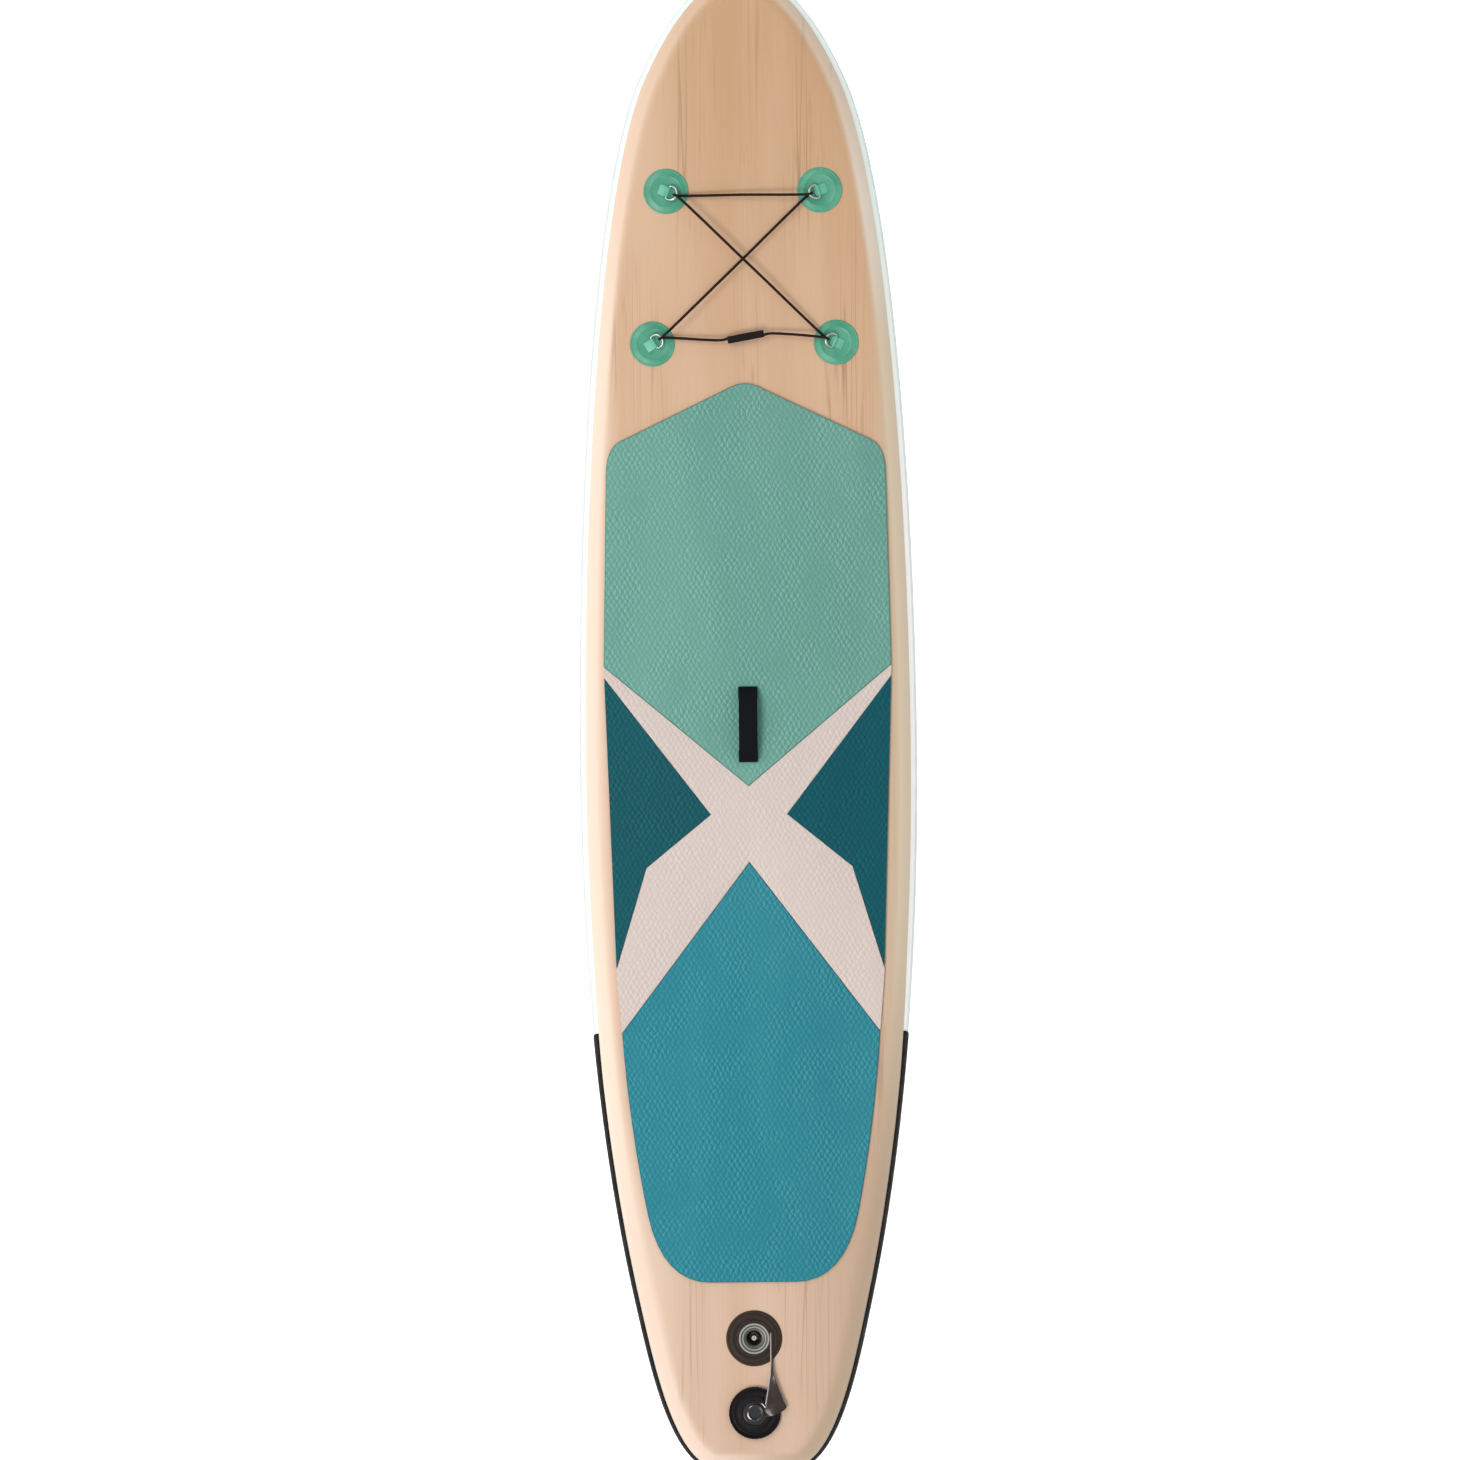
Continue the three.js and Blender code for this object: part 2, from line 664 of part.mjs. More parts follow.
function valveBodyGeometry() {
  const shell = ring([
    [13.5, -34],
    [24, -34],
    [24, 2.9],
    [34.5, 2.9],
    [34.5, 8],
    [33.5, 9],
    [31, 9],
    [29.5, 6.8],
    [21.2, 5.2],
    [20.5, 4.4],
    [20.5, -3],
    [17.2, -3],
    [17.2, -30],
    [13.5, -30],
  ]);
  const spokes = [box(38, 4, 2.4, 0, 0, -24), box(4, 38, 2.4, 0, 0, -24)];
  const hub = rod(5.5, 2.4, -24, 12);
  return cut(join(shell, ...spokes, hub), rod(2.6, 10, -24, 12));
}

function stemGeometry() {
  const profile = [
    [0, -39],
    [16.3, -39],
    [16.3, -36.6],
    [2, -36.6],
    [2, -8],
    [5.5, -8],
    [5.5, -5],
    [4.4, -4],
    [0, -4],
  ];
  return lathe(profile, 12);
}

function springGeometry() {
  const turns = 4;
  const perTurn = 10;
  const low = -21.6;
  const high = -9.2;
  const points = Array.from({ length: turns * perTurn + 1 }, (_, i) => {
    const angle = (2 * Math.PI * i) / perTurn;
    return vec(4.3 * Math.cos(angle), 4.3 * Math.sin(angle), low + ((high - low) * i) / (turns * perTurn));
  });
  return cordThrough(points, 0.8, 5);
}

// The cap as it sits when closed, with its plug in the valve's mouth.
function capGeometry() {
  const shell = lathe([
    [0, 10.3],
    [15.5, 10.3],
    [15.5, 1.2],
    [16.2, 0.4],
    [18.3, 0.4],
    [19, 1.2],
    [19, 10.3],
    [54.5, 10.3],
    [54.5, 3.9],
    [58, 3.9],
    [58, 11.5],
    [56, CAP_TOP],
    [0, CAP_TOP],
  ]);
  const tetherNotch = box(12, 34, 8, 56, -8, 5.6);
  return cut(shell, tetherNotch);
}

// A flexible strap from a collar round the valve to a loop round the cap's plug.
function tetherGeometry() {
  const inner = [
    [36.6, 16, 4.2],
    [36.8, -30, 5],
    [36, -70, 9],
    [32, -100, 13.5],
    [27, -130, 16.5],
    [23, -152, 14.5],
    [20.5, -162, 8],
    [20.5, -166, 4.6],
  ];
  const outer = [
    [37.4, 16, 14],
    [38, -30, 15],
    [41, -70, 15],
    [51, -104, 13.5],
    [64, -138, 13],
    [71, -155, 13],
    [40, -172, 12.5],
    [22, -176, 4.6],
  ];
  const edge = (points) => new THREE.CatmullRomCurve3(points.map((p) => vec(...p)), false, "centripetal");
  const [a, b] = [edge(inner), edge(outer)];
  const steps = 14;
  const loops = [];
  for (let i = 0; i <= steps; i++) {
    const p = a.getPoint(i / steps);
    const q = b.getPoint(i / steps);
    const along = a.getTangent(i / steps).add(b.getTangent(i / steps)).normalize();
    const thin = along.cross(q.clone().sub(p)).normalize().multiplyScalar(0.7);
    loops.push([p.clone().sub(thin), q.clone().sub(thin), q.clone().add(thin), p.clone().add(thin)]);
  }
  const collar = ring([[35, 3.1], [40, 3.1], [40, 4.6], [35, 4.6]], 24);
  const loop = ring([[19.3, 3.9], [23.5, 3.9], [23.5, 5.2], [19.3, 5.2]], 20);
  return join(loft(loops), collar, loop.translate(0, CAP_Y - VALVE_Y, 0));
}

function addValve() {
  const rubber = material(0x241c19, 0.6);
  const greyPlastic = material(0x787970, 0.4);
  const blackPlastic = material(0x17161a, 0.2);
  const valve = new THREE.Group();
  valve.position.set(0, VALVE_Y, deckZ);
  board.add(valve);
  const flange = ring([
    [36, 0.3],
    [62.5, 0.3],
    [62.5, 1.6],
    [60.5, 2.6],
    [53, 2.8],
    [52, 3.6],
    [46, 3.6],
    [45, 2.8],
    [36, 2.8],
  ], 24);
  add(valve, "valve_flange", flange, rubber);
  add(valve, "valve_gasket", ring([[25.2, 0.4], [34, 0.4], [34, 2.6], [25.2, 2.6]]), material(0x101010, 0.9));
  add(valve, "valve_body", valveBodyGeometry(), greyPlastic);
  const nut = ring([[25.4, -13.4], [37, -13.4], [37, -3.4], [25.4, -3.4]], 12);
  add(valve, "valve_backing_nut", nut, greyPlastic);
  add(valve, "valve_stem", stemGeometry(), material(0x2a2a2a, 0.4));
  const seal = ring([[10.5, -36.3], [16.2, -36.3], [16.2, -34.4], [10.5, -34.4]], 16);
  add(valve, "valve_seal", seal, material(0xa8321f, 0.8));
  add(valve, "valve_spring", springGeometry(), material(0xb5b8bb, 0.3, 1));
  add(valve, "valve_tether", tetherGeometry(), rubber);

  // The open cap lies on the deck behind the valve, turned half round from its closed place.
  const openCap = new THREE.Group();
  openCap.position.set(0, CAP_Y, deckZ + GAP + CAP_TOP);
  openCap.rotation.set(Math.PI, 0, 0);
  board.add(openCap);
  add(openCap, "valve_cap", capGeometry(), blackPlastic);
  const capSeal = ring([[28.5, 9.35], [34, 9.35], [34, 10], [28.5, 10]]);
  add(openCap, "valve_cap_seal", capSeal, material(0x101010, 0.9));
}

// --- Fins ----------------------------------------------------------------------------------

// A foil from its root to its tip. Each section is [depth, front, back, thickness].
function foil(sections, points = 10) {
  const loops = sections.map(([depth, front, back, thick]) =>
    Array.from({ length: points }, (_, k) => {
      const angle = (2 * Math.PI * k) / points;
      const y = (front + back) / 2 + ((front - back) / 2) * Math.cos(angle);
      return vec((thick / 2) * Math.sin(angle), y, -depth);
    }),
  );
  return loft(loops);
}

const SLIDE = { front: 95, back: -100, head: 18, headTop: -6, headBottom: -11.4, neck: 9, bottom: -14.3 };

// A plate glued to the bottom with a block under it, and a slot in the block that is open at the rear.
function finBoxGeometry() {
  const plate = extrude(obround(84, 250), 3, 6).translate(0, 0, -GAP - 3);
  const block = box(32, 204, -SLIDE.bottom - 2, 0, 0, (SLIDE.bottom - 2) / 2);
  const long = 400;
  const middle = SLIDE.front - long / 2;
  const headHeight = SLIDE.headTop - SLIDE.headBottom;
  const head = box(SLIDE.head, long, headHeight, 0, middle, SLIDE.headTop - headHeight / 2);
  const neck = box(SLIDE.neck, long, 12, 0, middle, SLIDE.headBottom - 5);
  return cut(join(plate, block), head, neck);
}

const PIN = { y: -84, z: -21.5 };

function finGeometry() {
  const length = SLIDE.front - SLIDE.back - 8;
  const middle = (SLIDE.front + SLIDE.back) / 2;
  const headHeight = SLIDE.headTop - SLIDE.headBottom - 0.8;
  const head = box(SLIDE.head - 0.8, length, headHeight, 0, middle, SLIDE.headTop - 0.4 - headHeight / 2);
  const neck = box(SLIDE.neck - 0.8, length, 7, 0, middle, SLIDE.headBottom - 2.4);
  const lug = box(SLIDE.neck - 0.8, 18, 12, 0, PIN.y, PIN.z + 1);
  const blade = foil([
    [13, 88, -66, 8],
    [40, 74, -74, 8],
    [80, 46, -88, 7.5],
    [120, 12, -104, 7],
    [160, -32, -122, 6],
    [195, -84, -139, 4.5],
    [212, -118, -146, 3],
  ]);
  const pinHole = rod(2.5, 40, 0, 12).rotateY(Math.PI / 2).translate(0, PIN.y, PIN.z);
  return cut(join(head, neck, lug, blade), pinHole);
}

// The lever straddles the fin's heel, and its rounded end clamps the block.
function leverGeometry() {
  const round = 6;
  const arm = 44;
  const side = new THREE.Shape();
  side.absarc(PIN.y, PIN.z, round, -Math.PI / 2, Math.PI / 2, false);
  side.lineTo(PIN.y - arm, PIN.z + round - 2);
  side.lineTo(PIN.y - arm, PIN.z - round);
  const width = 16;
  const whole = extrude(side, width, 6).rotateX(Math.PI / 2).rotateZ(Math.PI / 2);
  whole.translate(-width / 2, 0, 0);
  const channel = box(SLIDE.neck, 40, 30, 0, PIN.y + 6, PIN.z);
  const pinHole = rod(2.6, 40, 0, 12).rotateY(Math.PI / 2).translate(0, PIN.y, PIN.z);
  return cut(whole, channel, pinHole);
}

function sideFinGeometry() {
  const base = extrude(obround(46, 150), 2.4, 5).translate(0, 0, -GAP - 2.4);
  const blade = foil([
    [2, 56, -50, 7],
    [30, 42, -56, 7],
    [60, 18, -66, 6],
    [88, -20, -78, 4.5],
    [104, -52, -84, 3],
  ], 8);
  return [base, blade];
}

function addFins() {
  const glassNylon = material(0x17181a, 0.5);
  const tail = new THREE.Group();
  tail.position.set(0, FIN_BOX_Y, 0);
  board.add(tail);
  add(tail, "fin_box", finBoxGeometry(), glassNylon);
  add(tail, "centre_fin", finGeometry(), material(0x1d1f21, 0.45));
  add(tail, "fin_lock_lever", leverGeometry(), material(0x2e8f9b, 0.4));
  const pin = rod(2.1, 17, 0, 10).rotateY(Math.PI / 2).translate(0, PIN.y, PIN.z);
  add(tail, "fin_lever_pin", pin, material(0xb9bcc0, 0.3, 1));
  for (const [name, side] of [["left", -1], ["right", 1]]) {
    const [base, blade] = sideFinGeometry();
    blade.rotateY(radians(-side * SIDE_FIN.cant));
    const fin = add(board, `${name}_side_fin`, join(base, blade), material(0x1d1f21, 0.6));
    fin.position.set(side * SIDE_FIN.x, SIDE_FIN.y, 0);
  }
}

addHull();
addYarnRows();
addPad();
addHandle();
addBungee(addAnchors());
addValve();
addFins();

export default board;
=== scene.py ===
"""Looks for an inflatable stand up paddleboard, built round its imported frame."""

from math import atan, copysign, cos, hypot, pi, radians, sin, sqrt

import bmesh
import bpy
from mathutils import Euler, Matrix, Vector
from mathutils.geometry import tessellate_polygon


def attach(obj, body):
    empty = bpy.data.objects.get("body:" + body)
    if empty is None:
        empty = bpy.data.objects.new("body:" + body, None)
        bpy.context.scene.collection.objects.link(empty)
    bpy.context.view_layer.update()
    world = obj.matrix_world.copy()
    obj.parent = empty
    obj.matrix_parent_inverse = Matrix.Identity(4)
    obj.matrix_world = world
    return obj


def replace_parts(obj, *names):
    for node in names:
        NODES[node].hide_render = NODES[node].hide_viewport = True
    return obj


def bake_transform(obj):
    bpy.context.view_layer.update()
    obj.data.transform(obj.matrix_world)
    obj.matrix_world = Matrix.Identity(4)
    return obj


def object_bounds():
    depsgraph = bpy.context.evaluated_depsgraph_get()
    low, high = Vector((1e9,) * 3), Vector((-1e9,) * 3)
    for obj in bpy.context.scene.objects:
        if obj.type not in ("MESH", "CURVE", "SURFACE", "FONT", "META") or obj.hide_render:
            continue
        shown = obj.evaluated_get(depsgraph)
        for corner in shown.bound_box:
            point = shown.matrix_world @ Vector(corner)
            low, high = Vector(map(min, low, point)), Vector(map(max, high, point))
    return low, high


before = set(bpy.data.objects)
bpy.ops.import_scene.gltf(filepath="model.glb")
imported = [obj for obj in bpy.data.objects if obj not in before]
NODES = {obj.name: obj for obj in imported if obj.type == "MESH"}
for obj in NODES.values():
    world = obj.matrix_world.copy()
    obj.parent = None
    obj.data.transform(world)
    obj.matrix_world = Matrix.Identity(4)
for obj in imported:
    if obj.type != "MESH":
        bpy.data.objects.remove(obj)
cad_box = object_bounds()
MM = 0.001
WELD = 2e-6  # points closer than this are one
VALVE_Y, CAP_Y = -1.371, -1.537  # the middles of the valve and of the open cap

# --- Camera and light ---

VIEW_HEIGHT = 3.26  # the stretch of board that the frame takes in
CAMERA_UP = 11.0  # above the deck
CAMERA_X, CAMERA_Y, CAMERA_TURN = -0.0405, -0.0123, -0.57  # a little off centre, in metres and degrees
HORIZON, ZENITH = 1.0, 0.36  # a sky that darkens upwards keeps black parts black from above
FLOOR_GLOW = 0.55  # a lit table, so that the board's shadow fades away
CARD = 1.25  # how bright a white card that lies flat comes out


def make_camera():
    data = bpy.data.cameras.new("camera")
    data.sensor_width = 36
    data.lens = 36 * CAMERA_UP / VIEW_HEIGHT
    data.clip_end = 100
    camera = bpy.data.objects.new("camera", data)
    camera.location = (CAMERA_X, CAMERA_Y, DECK + CAMERA_UP)
    camera.rotation_euler = (0, 0, radians(CAMERA_TURN))
    bpy.context.scene.collection.objects.link(camera)
    bpy.context.scene.camera = camera


def area_light(name, place, target, size, power, color=(1, 1, 1)):
    data = bpy.data.lights.new(name, "AREA")
    data.shape = "DISK"
    data.size = size
    data.energy = power
    data.color = color
    light = bpy.data.objects.new(name, data)
    light.location = place
    light.rotation_euler = (Vector(target) - Vector(place)).to_track_quat("-Z", "Y").to_euler()
    bpy.context.scene.collection.objects.link(light)


def add_node(tree, kind, inputs, output=0, **settings):
    """Adds a node whose inputs are values or other nodes' outputs, and gives one of its outputs."""
    made = tree.nodes.new(kind)
    for key, value in settings.items():
        setattr(made, key, value)
    for key, value in inputs.items():
        if isinstance(value, bpy.types.NodeSocket):
            tree.links.new(value, made.inputs[key])
        elif isinstance(value, tuple) and len(value) == 3 and made.inputs[key].type == "RGBA":
            made.inputs[key].default_value = (*value, 1)
        else:
            made.inputs[key].default_value = value
    return made.outputs[output]


def make_stage():
    bpy.ops.mesh.primitive_plane_add(size=60, location=(0, 0, cad_box[0].z - 0.001))
    floor = bpy.context.object
    floor.name = "studio_floor"
    look = Look("studio_floor", (0.93, 0.93, 0.93), 0.9)
    look.shader.inputs["Emission Color"].default_value = (1, 1, 1, 1)
    look.shader.inputs["Emission Strength"].default_value = FLOOR_GLOW
    floor.data.materials.append(look.material)
    world = bpy.data.worlds.new("studio")
    world.use_nodes = True
    tree = world.node_tree
    sky = tree.nodes["Background"]
    way = add_node(tree, "ShaderNodeTexCoord", {})
    height = add_node(tree, "ShaderNodeSeparateXYZ", {0: way}, output=2)
    fade = add_node(tree, "ShaderNodeMapRange", {"Value": height, "To Min": HORIZON, "To Max": ZENITH})
    tree.links.new(fade, sky.inputs["Strength"])
    sky.inputs["Color"].default_value = (1, 1, 1, 1)
    bpy.context.scene.world = world
    bpy.context.scene.view_settings.view_transform = "Standard"
    area_light("key", (-3.4, -4.2, 7.4), (0, -0.2, 0.1), 4.0, 450, (1.0, 0.985, 0.97))
    area_light("second", (-3.8, 3.4, 6.6), (0, 0.4, 0.1), 4.0, 220)
    area_light("fill", (5.0, 0.5, 6.0), (0, 0, 0.1), 4.5, 60, (0.96, 0.98, 1.0))


# --- Materials ---


def seen(r, g, b):
    """The surface colour that comes out as this sRGB colour when it lies flat under the studio light."""

    def linear(c):
        c /= 255
        return (c / 12.92 if c <= 0.04045 else ((c + 0.055) / 1.055) ** 2.4) / CARD

    return tuple(linear(c) for c in (r, g, b))


class Look:
    """A node material and short ways to add to it. Lengths are in metres in the object's frame."""

    def __init__(self, name, color, roughness, metallic=0.0, specular=0.4, coat=0.0, coat_roughness=0.1):
        self.material = bpy.data.materials.new(name)
        self.material.use_nodes = True
        self.material.diffuse_color = (*color, 1)
        self.tree = self.material.node_tree
        self.shader = self.tree.nodes["Principled BSDF"]
        values = ((*color, 1), roughness, metallic, specular, coat, coat_roughness)
        names = ("Base Color", "Roughness", "Metallic", "Specular IOR Level", "Coat Weight", "Coat Roughness")
        for socket, value in zip(names, values):
            self.shader.inputs[socket].default_value = value
        self.place = None

    def node(self, kind, inputs, output=0, **settings):
        return add_node(self.tree, kind, inputs, output, **settings)

    def coords(self):
        if self.place is None:
            self.place = self.node("ShaderNodeTexCoord", {}, output=3)
        return self.place

    def scaled(self, scale, source=None):
        return self.node("ShaderNodeMapping", {"Vector": source or self.coords(), "Scale": scale})

    def noise(self, scale, detail=2.0, roughness=0.5, source=None):
        vector = self.scaled(scale, source) if isinstance(scale, tuple) else (source or self.coords())
        size = 1.0 if isinstance(scale, tuple) else scale
        inputs = {"Vector": vector, "Scale": size, "Detail": detail, "Roughness": roughness}
        return self.node("ShaderNodeTexNoise", inputs)

    def math(self, operation, a, b=0.0):
        return self.node("ShaderNodeMath", {0: a, 1: b}, operation=operation)

    def times(self, a, b):
        return self.math("MULTIPLY", a, b)

    def plus(self, a, b):
        return self.math("ADD", a, b)

    def minus(self, a, b):
        return self.math("SUBTRACT", a, b)

    def ramp(self, value, low, high, to_low=0.0, to_high=1.0):
        """A smooth step from one number to another while a value goes from low to high."""
        inputs = {"Value": value, "From Min": low, "From Max": high, "To Min": to_low, "To Max": to_high}
        return self.node("ShaderNodeMapRange", inputs, interpolation_type="SMOOTHSTEP", clamp=True)

    def axis(self, letter, source=None):
        return self.node("ShaderNodeSeparateXYZ", {0: source or self.coords()}, output="XYZ".index(letter))

    def upward(self):
        """How far the surface faces up: one on the flat deck, and nothing on an upright side."""
        return self.axis("Z", self.node("ShaderNodeTexCoord", {}, output=1))

    def mix(self, share, a, b):
        return self.node("ShaderNodeMix", {0: share, 6: a, 7: b}, output=2, data_type="RGBA")

    def tint(self, value, low, high, share, a, b):
        """Mixes b into a, by none up to a share, while a value goes from low to high."""
        return self.mix(self.ramp(value, low, high, 0.0, share), a, b)

    def line(self, value, at, half):
        """One where a value is at a line, and nothing half a width away from it."""
        off = self.math("ABSOLUTE", self.minus(value, at))
        return self.ramp(off, 0.0, half, 1.0, 0.0)

    def bump(self, height, depth, strength=1.0, normal=None):
        inputs = {"Height": height, "Distance": depth, "Strength": strength}
        if normal is not None:
            inputs["Normal"] = normal
        return self.node("ShaderNodeBump", inputs)

    def finish(self, color, roughness=None, normal=None):
        """Wires up the shader and gives the material."""
        for socket, value in (("Base Color", color), ("Roughness", roughness), ("Normal", normal)):
            if value is not None:
                self.tree.links.new(value, self.shader.inputs[socket])
        return self.material


def cloth_bump(look, pitch, depth):
    """The faint square weave that shows through coated cloth."""
    x, y = (look.math("SINE", look.times(look.axis(letter), 2 * pi / pitch)) for letter in "XY")
    return look.bump(look.times(x, y), depth, 0.5)


def shade(color, share):
    return tuple(c * share for c in color)


def deck_look():
    """Printed pale wood with wavering hairlines along the board. Over it, painted light makes the left side
    and shoulder paler, and painted shade makes the right side and shoulder darker towards the tail.
    """
    look = Look("deck_wood_print_and_painted_light", seen(206, 167, 132), 0.5, specular=0.25, coat=0.06, coat_roughness=0.35)
    x, y = look.axis("X"), look.axis("Y")
    waver = look.times(look.noise((3.0, 1.3, 0.0), 3.0), 0.022)
    bent = look.node("ShaderNodeCombineXYZ", {0: look.plus(x, waver), 1: y})
    broad = look.noise((7.0, 0.8, 0.0), 3.0)
    fibre = look.noise((420.0, 5.0, 0.0), 4.0, 0.65, bent)
    tone = look.tint(y, 1.6, 0.7, 1.0, seen(202, 161, 121), seen(216, 178, 146))
    tone = look.tint(y, 0.3, -1.1, 1.0, tone, seen(215, 185, 162))
    tone = look.tint(broad, 0.42, 0.68, 0.35, tone, seen(222, 188, 160))
    tone = look.tint(broad, 0.58, 0.3, 0.3, tone, seen(196, 156, 116))
    tone = look.tint(fibre, 0.3, 0.75, 0.16, tone, seen(180, 140, 104))
    patchy = look.ramp(look.noise((9.0, 1.9, 0.0), 3.0), 0.44, 0.64)
    lines = 0.0
    for scale, half, share in (((30.0, 0.4, 0.0), 0.018, 0.5), ((62.0, 1.6, 3.0), 0.024, 0.22)):
        hair = look.line(look.noise(scale, 1.0, 0.5, bent), 0.5, half)
        shown = look.times(look.times(hair, patchy), share)
        lines = look.plus(lines, shown)
        tone = look.mix(shown, tone, seen(128, 94, 62))
    nose, tail = look.ramp(y, 0.8, 1.2), look.ramp(y, -0.6, -1.1)
    # Painted light on the left half and edge, and painted shade on the right half and edge.
    painted_side_shading = (  # where each begins and is full, its share, which part of the board it is on, its colour
        (-0.27, -0.33, 0.7, 1.0, (240, 212, 190)),
        (0.27, 0.33, 0.7, 1.0, (206, 186, 160)),
        (-0.08, -0.23, 0.8, nose, (220, 186, 156)),
        (0.06, 0.24, 0.8, tail, (192, 165, 138)),
        (-0.13, -0.23, 0.9, tail, (228, 201, 179)),
    )
    for begin, full, share, part, color in painted_side_shading:
        tone = look.mix(look.times(look.ramp(x, begin, full, 0.0, share), part), tone, seen(*color))
    # Painted light on the left shoulder and painted shade on the right one, where the deck rounds down
    # towards the rail. The right shoulder turns pale near the nose, and all of it is weaker at the nose.
    painted_shoulder_mask = look.times(look.ramp(look.upward(), 1.0, 0.90), look.ramp(y, 1.55, 0.7, 0.42, 1.0))
    left = look.tint(y, -0.8, -1.3, 1.0, seen(248, 222, 202), seen(236, 211, 193))
    right = look.tint(y, -0.3, -1.1, 1.0, seen(220, 202, 176), seen(194, 168, 142))
    right = look.tint(y, 0.8, 1.25, 1.0, right, seen(244, 242, 232))
    tone = look.mix(look.times(painted_shoulder_mask, 0.9), tone, look.tint(x, -0.1, 0.1, 1.0, left, right))
    grain = look.bump(look.minus(fibre, lines), 0.0001, 0.4, cloth_bump(look, 0.0016, 0.00004))
    return look.finish(tone, look.ramp(fibre, 0.3, 0.8, 0.42, 0.56), grain)


def rail_look():
    look = Look("rail_pvc", seen(250, 250, 248), 0.42, coat=0.08, coat_roughness=0.25)
    tone = look.tint(look.axis("Y"), 0.35, 1.25, 0.75, seen(250, 250, 247), seen(226, 243, 233))
    tone = look.tint(look.noise((4.0, 2.0, 4.0), 2.0), 0.4, 0.7, 0.25, tone, seen(232, 236, 232))
    tone = look.tint(look.upward(), 0.44, 0.3, 0.8, tone, seen(178, 192, 188))  # painted shade: greyer where the rail turns down, away from the top
    roughness = look.ramp(look.noise(30.0, 3.0), 0.3, 0.7, 0.34, 0.48)
    return look.finish(tone, roughness, cloth_bump(look, 0.0018, 0.00005))


def bottom_look():
    look = Look("bottom_pvc", seen(250, 250, 247), 0.42, coat=0.08, coat_roughness=0.25)
    dirt, scuff = look.noise((6.0, 1.5, 6.0), 3.0), look.noise((90.0, 7.0, 0.0), 4.0, 0.7)
    tone = look.tint(dirt, 0.45, 0.75, 0.2, seen(250, 250, 247), seen(224, 228, 223))
    tone = look.tint(scuff, 0.68, 0.8, 0.22, tone, seen(196, 200, 196))
    return look.finish(tone, normal=cloth_bump(look, 0.0018, 0.00005))


def guard_look():
    look = Look("black_pvc", seen(18, 18, 19), 0.7, specular=0.03)
    wear = look.noise((40.0, 40.0, 40.0), 4.0, 0.7)
    tone = look.tint(wear, 0.6, 0.8, 0.3, seen(14, 14, 15), seen(34, 33, 32))
    return look.finish(tone, look.ramp(wear, 0.3, 0.7, 0.5, 0.66), cloth_bump(look, 0.0016, 0.00006))


def foam_look(name, base, light, dark):
    """Embossed foam: small upright diamonds with painted light on their left halves and painted shade on
    their right halves, over a fine grain.
    """
    look = Look(name, base, 0.8, specular=0.12)
    sway = look.times(look.noise(42.0, 2.0), 1.1)
    swing = look.noise((26.0, 36.0, 0.0), 2.0)
    u = look.plus(look.math("DIVIDE", look.axis("X"), 0.0122), sway)
    v = look.plus(look.math("DIVIDE", look.axis("Y"), 0.0205), swing)
    rise, fall = look.plus(u, v), look.minus(u, v)
    across = look.plus(look.math("FRACT", rise), look.math("FRACT", fall))
    edge = look.math("MINIMUM", look.math("PINGPONG", rise, 0.5), look.math("PINGPONG", fall, 0.5))
    dome = look.ramp(edge, 0.02, 0.24)
    grain = look.noise(900.0, 3.0, 0.7)
    amount = look.ramp(look.noise((16.0, 11.0, 0.0), 4.0), 0.35, 0.65, 0.3, 0.9)
    # Painted light on each diamond's left half and painted shade on its right half, patchy in strength.
    tone = look.mix(look.times(look.ramp(across, 0.4, 1.05, 0.72, 0.0), amount), base, light)
    tone = look.mix(look.times(look.ramp(across, 0.95, 1.6, 0.0, 0.6), amount), tone, dark)
    tone = look.tint(grain, 0.35, 0.7, 0.14, tone, dark)
    tone = look.tint(look.noise((5.0, 1.2, 0.0), 2.0), 0.4, 0.7, 0.16, tone, light)
    height = look.plus(dome, look.times(grain, 0.16))
    return look.finish(tone, look.ramp(dome, 0.0, 1.0, 0.88, 0.76), look.bump(height, 0.0007, 0.6))


def rim_look(name, color):
    """The cut and pressed edge of a foam panel."""
    look = Look(name, color, 0.85, specular=0.1)
    cells = look.noise(1400.0, 2.0, 0.7)
    tone = look.tint(cells, 0.4, 0.7, 0.4, color, shade(color, 0.7))
    return look.finish(tone, normal=look.bump(cells, 0.0002, 0.5))


def webbing_look(name, color, light):
    """Ribbed webbing that runs along Y."""
    look = Look(name, color, 0.8, specular=0.08)
    x = look.math("SINE", look.times(look.axis("X"), 2 * pi / 0.0021))
    y = look.math("SINE", look.times(look.axis("Y"), 2 * pi / 0.0017))
    weave = look.plus(x, look.times(look.times(x, y), 0.7))
    fuzz = look.noise(1500.0, 2.0)
    tone = look.tint(weave, 0.2, 1.6, 0.45, color, light)
    tone = look.tint(fuzz, 0.5, 0.8, 0.2, tone, light)
    return look.finish(tone, normal=look.bump(look.plus(weave, look.times(fuzz, 0.6)), 0.00012, 0.7))


def braid_look():
    """A braided sleeve. The tube's own UV map gives the way along it and round it."""
    look = Look("bungee_braid", seen(48, 28, 28), 0.75, specular=0.12)
    uv = look.node("ShaderNodeTexCoord", {}, output=2)
    along, turn = look.axis("X", uv), look.times(look.axis("Y", uv), 8.0)
    a = look.math("PINGPONG", look.plus(along, turn), 0.5)
    b = look.math("PINGPONG", look.minus(along, turn), 0.5)
    strand = look.ramp(look.math("MINIMUM", a, b), 0.0, 0.3)
    tone = look.mix(strand, seen(20, 12, 12), seen(54, 33, 33))
    tone = look.tint(look.minus(a, b), 0.25, 0.45, 0.35, tone, seen(92, 60, 58))
    return look.finish(tone, normal=look.bump(strand, 0.0004, 0.9))


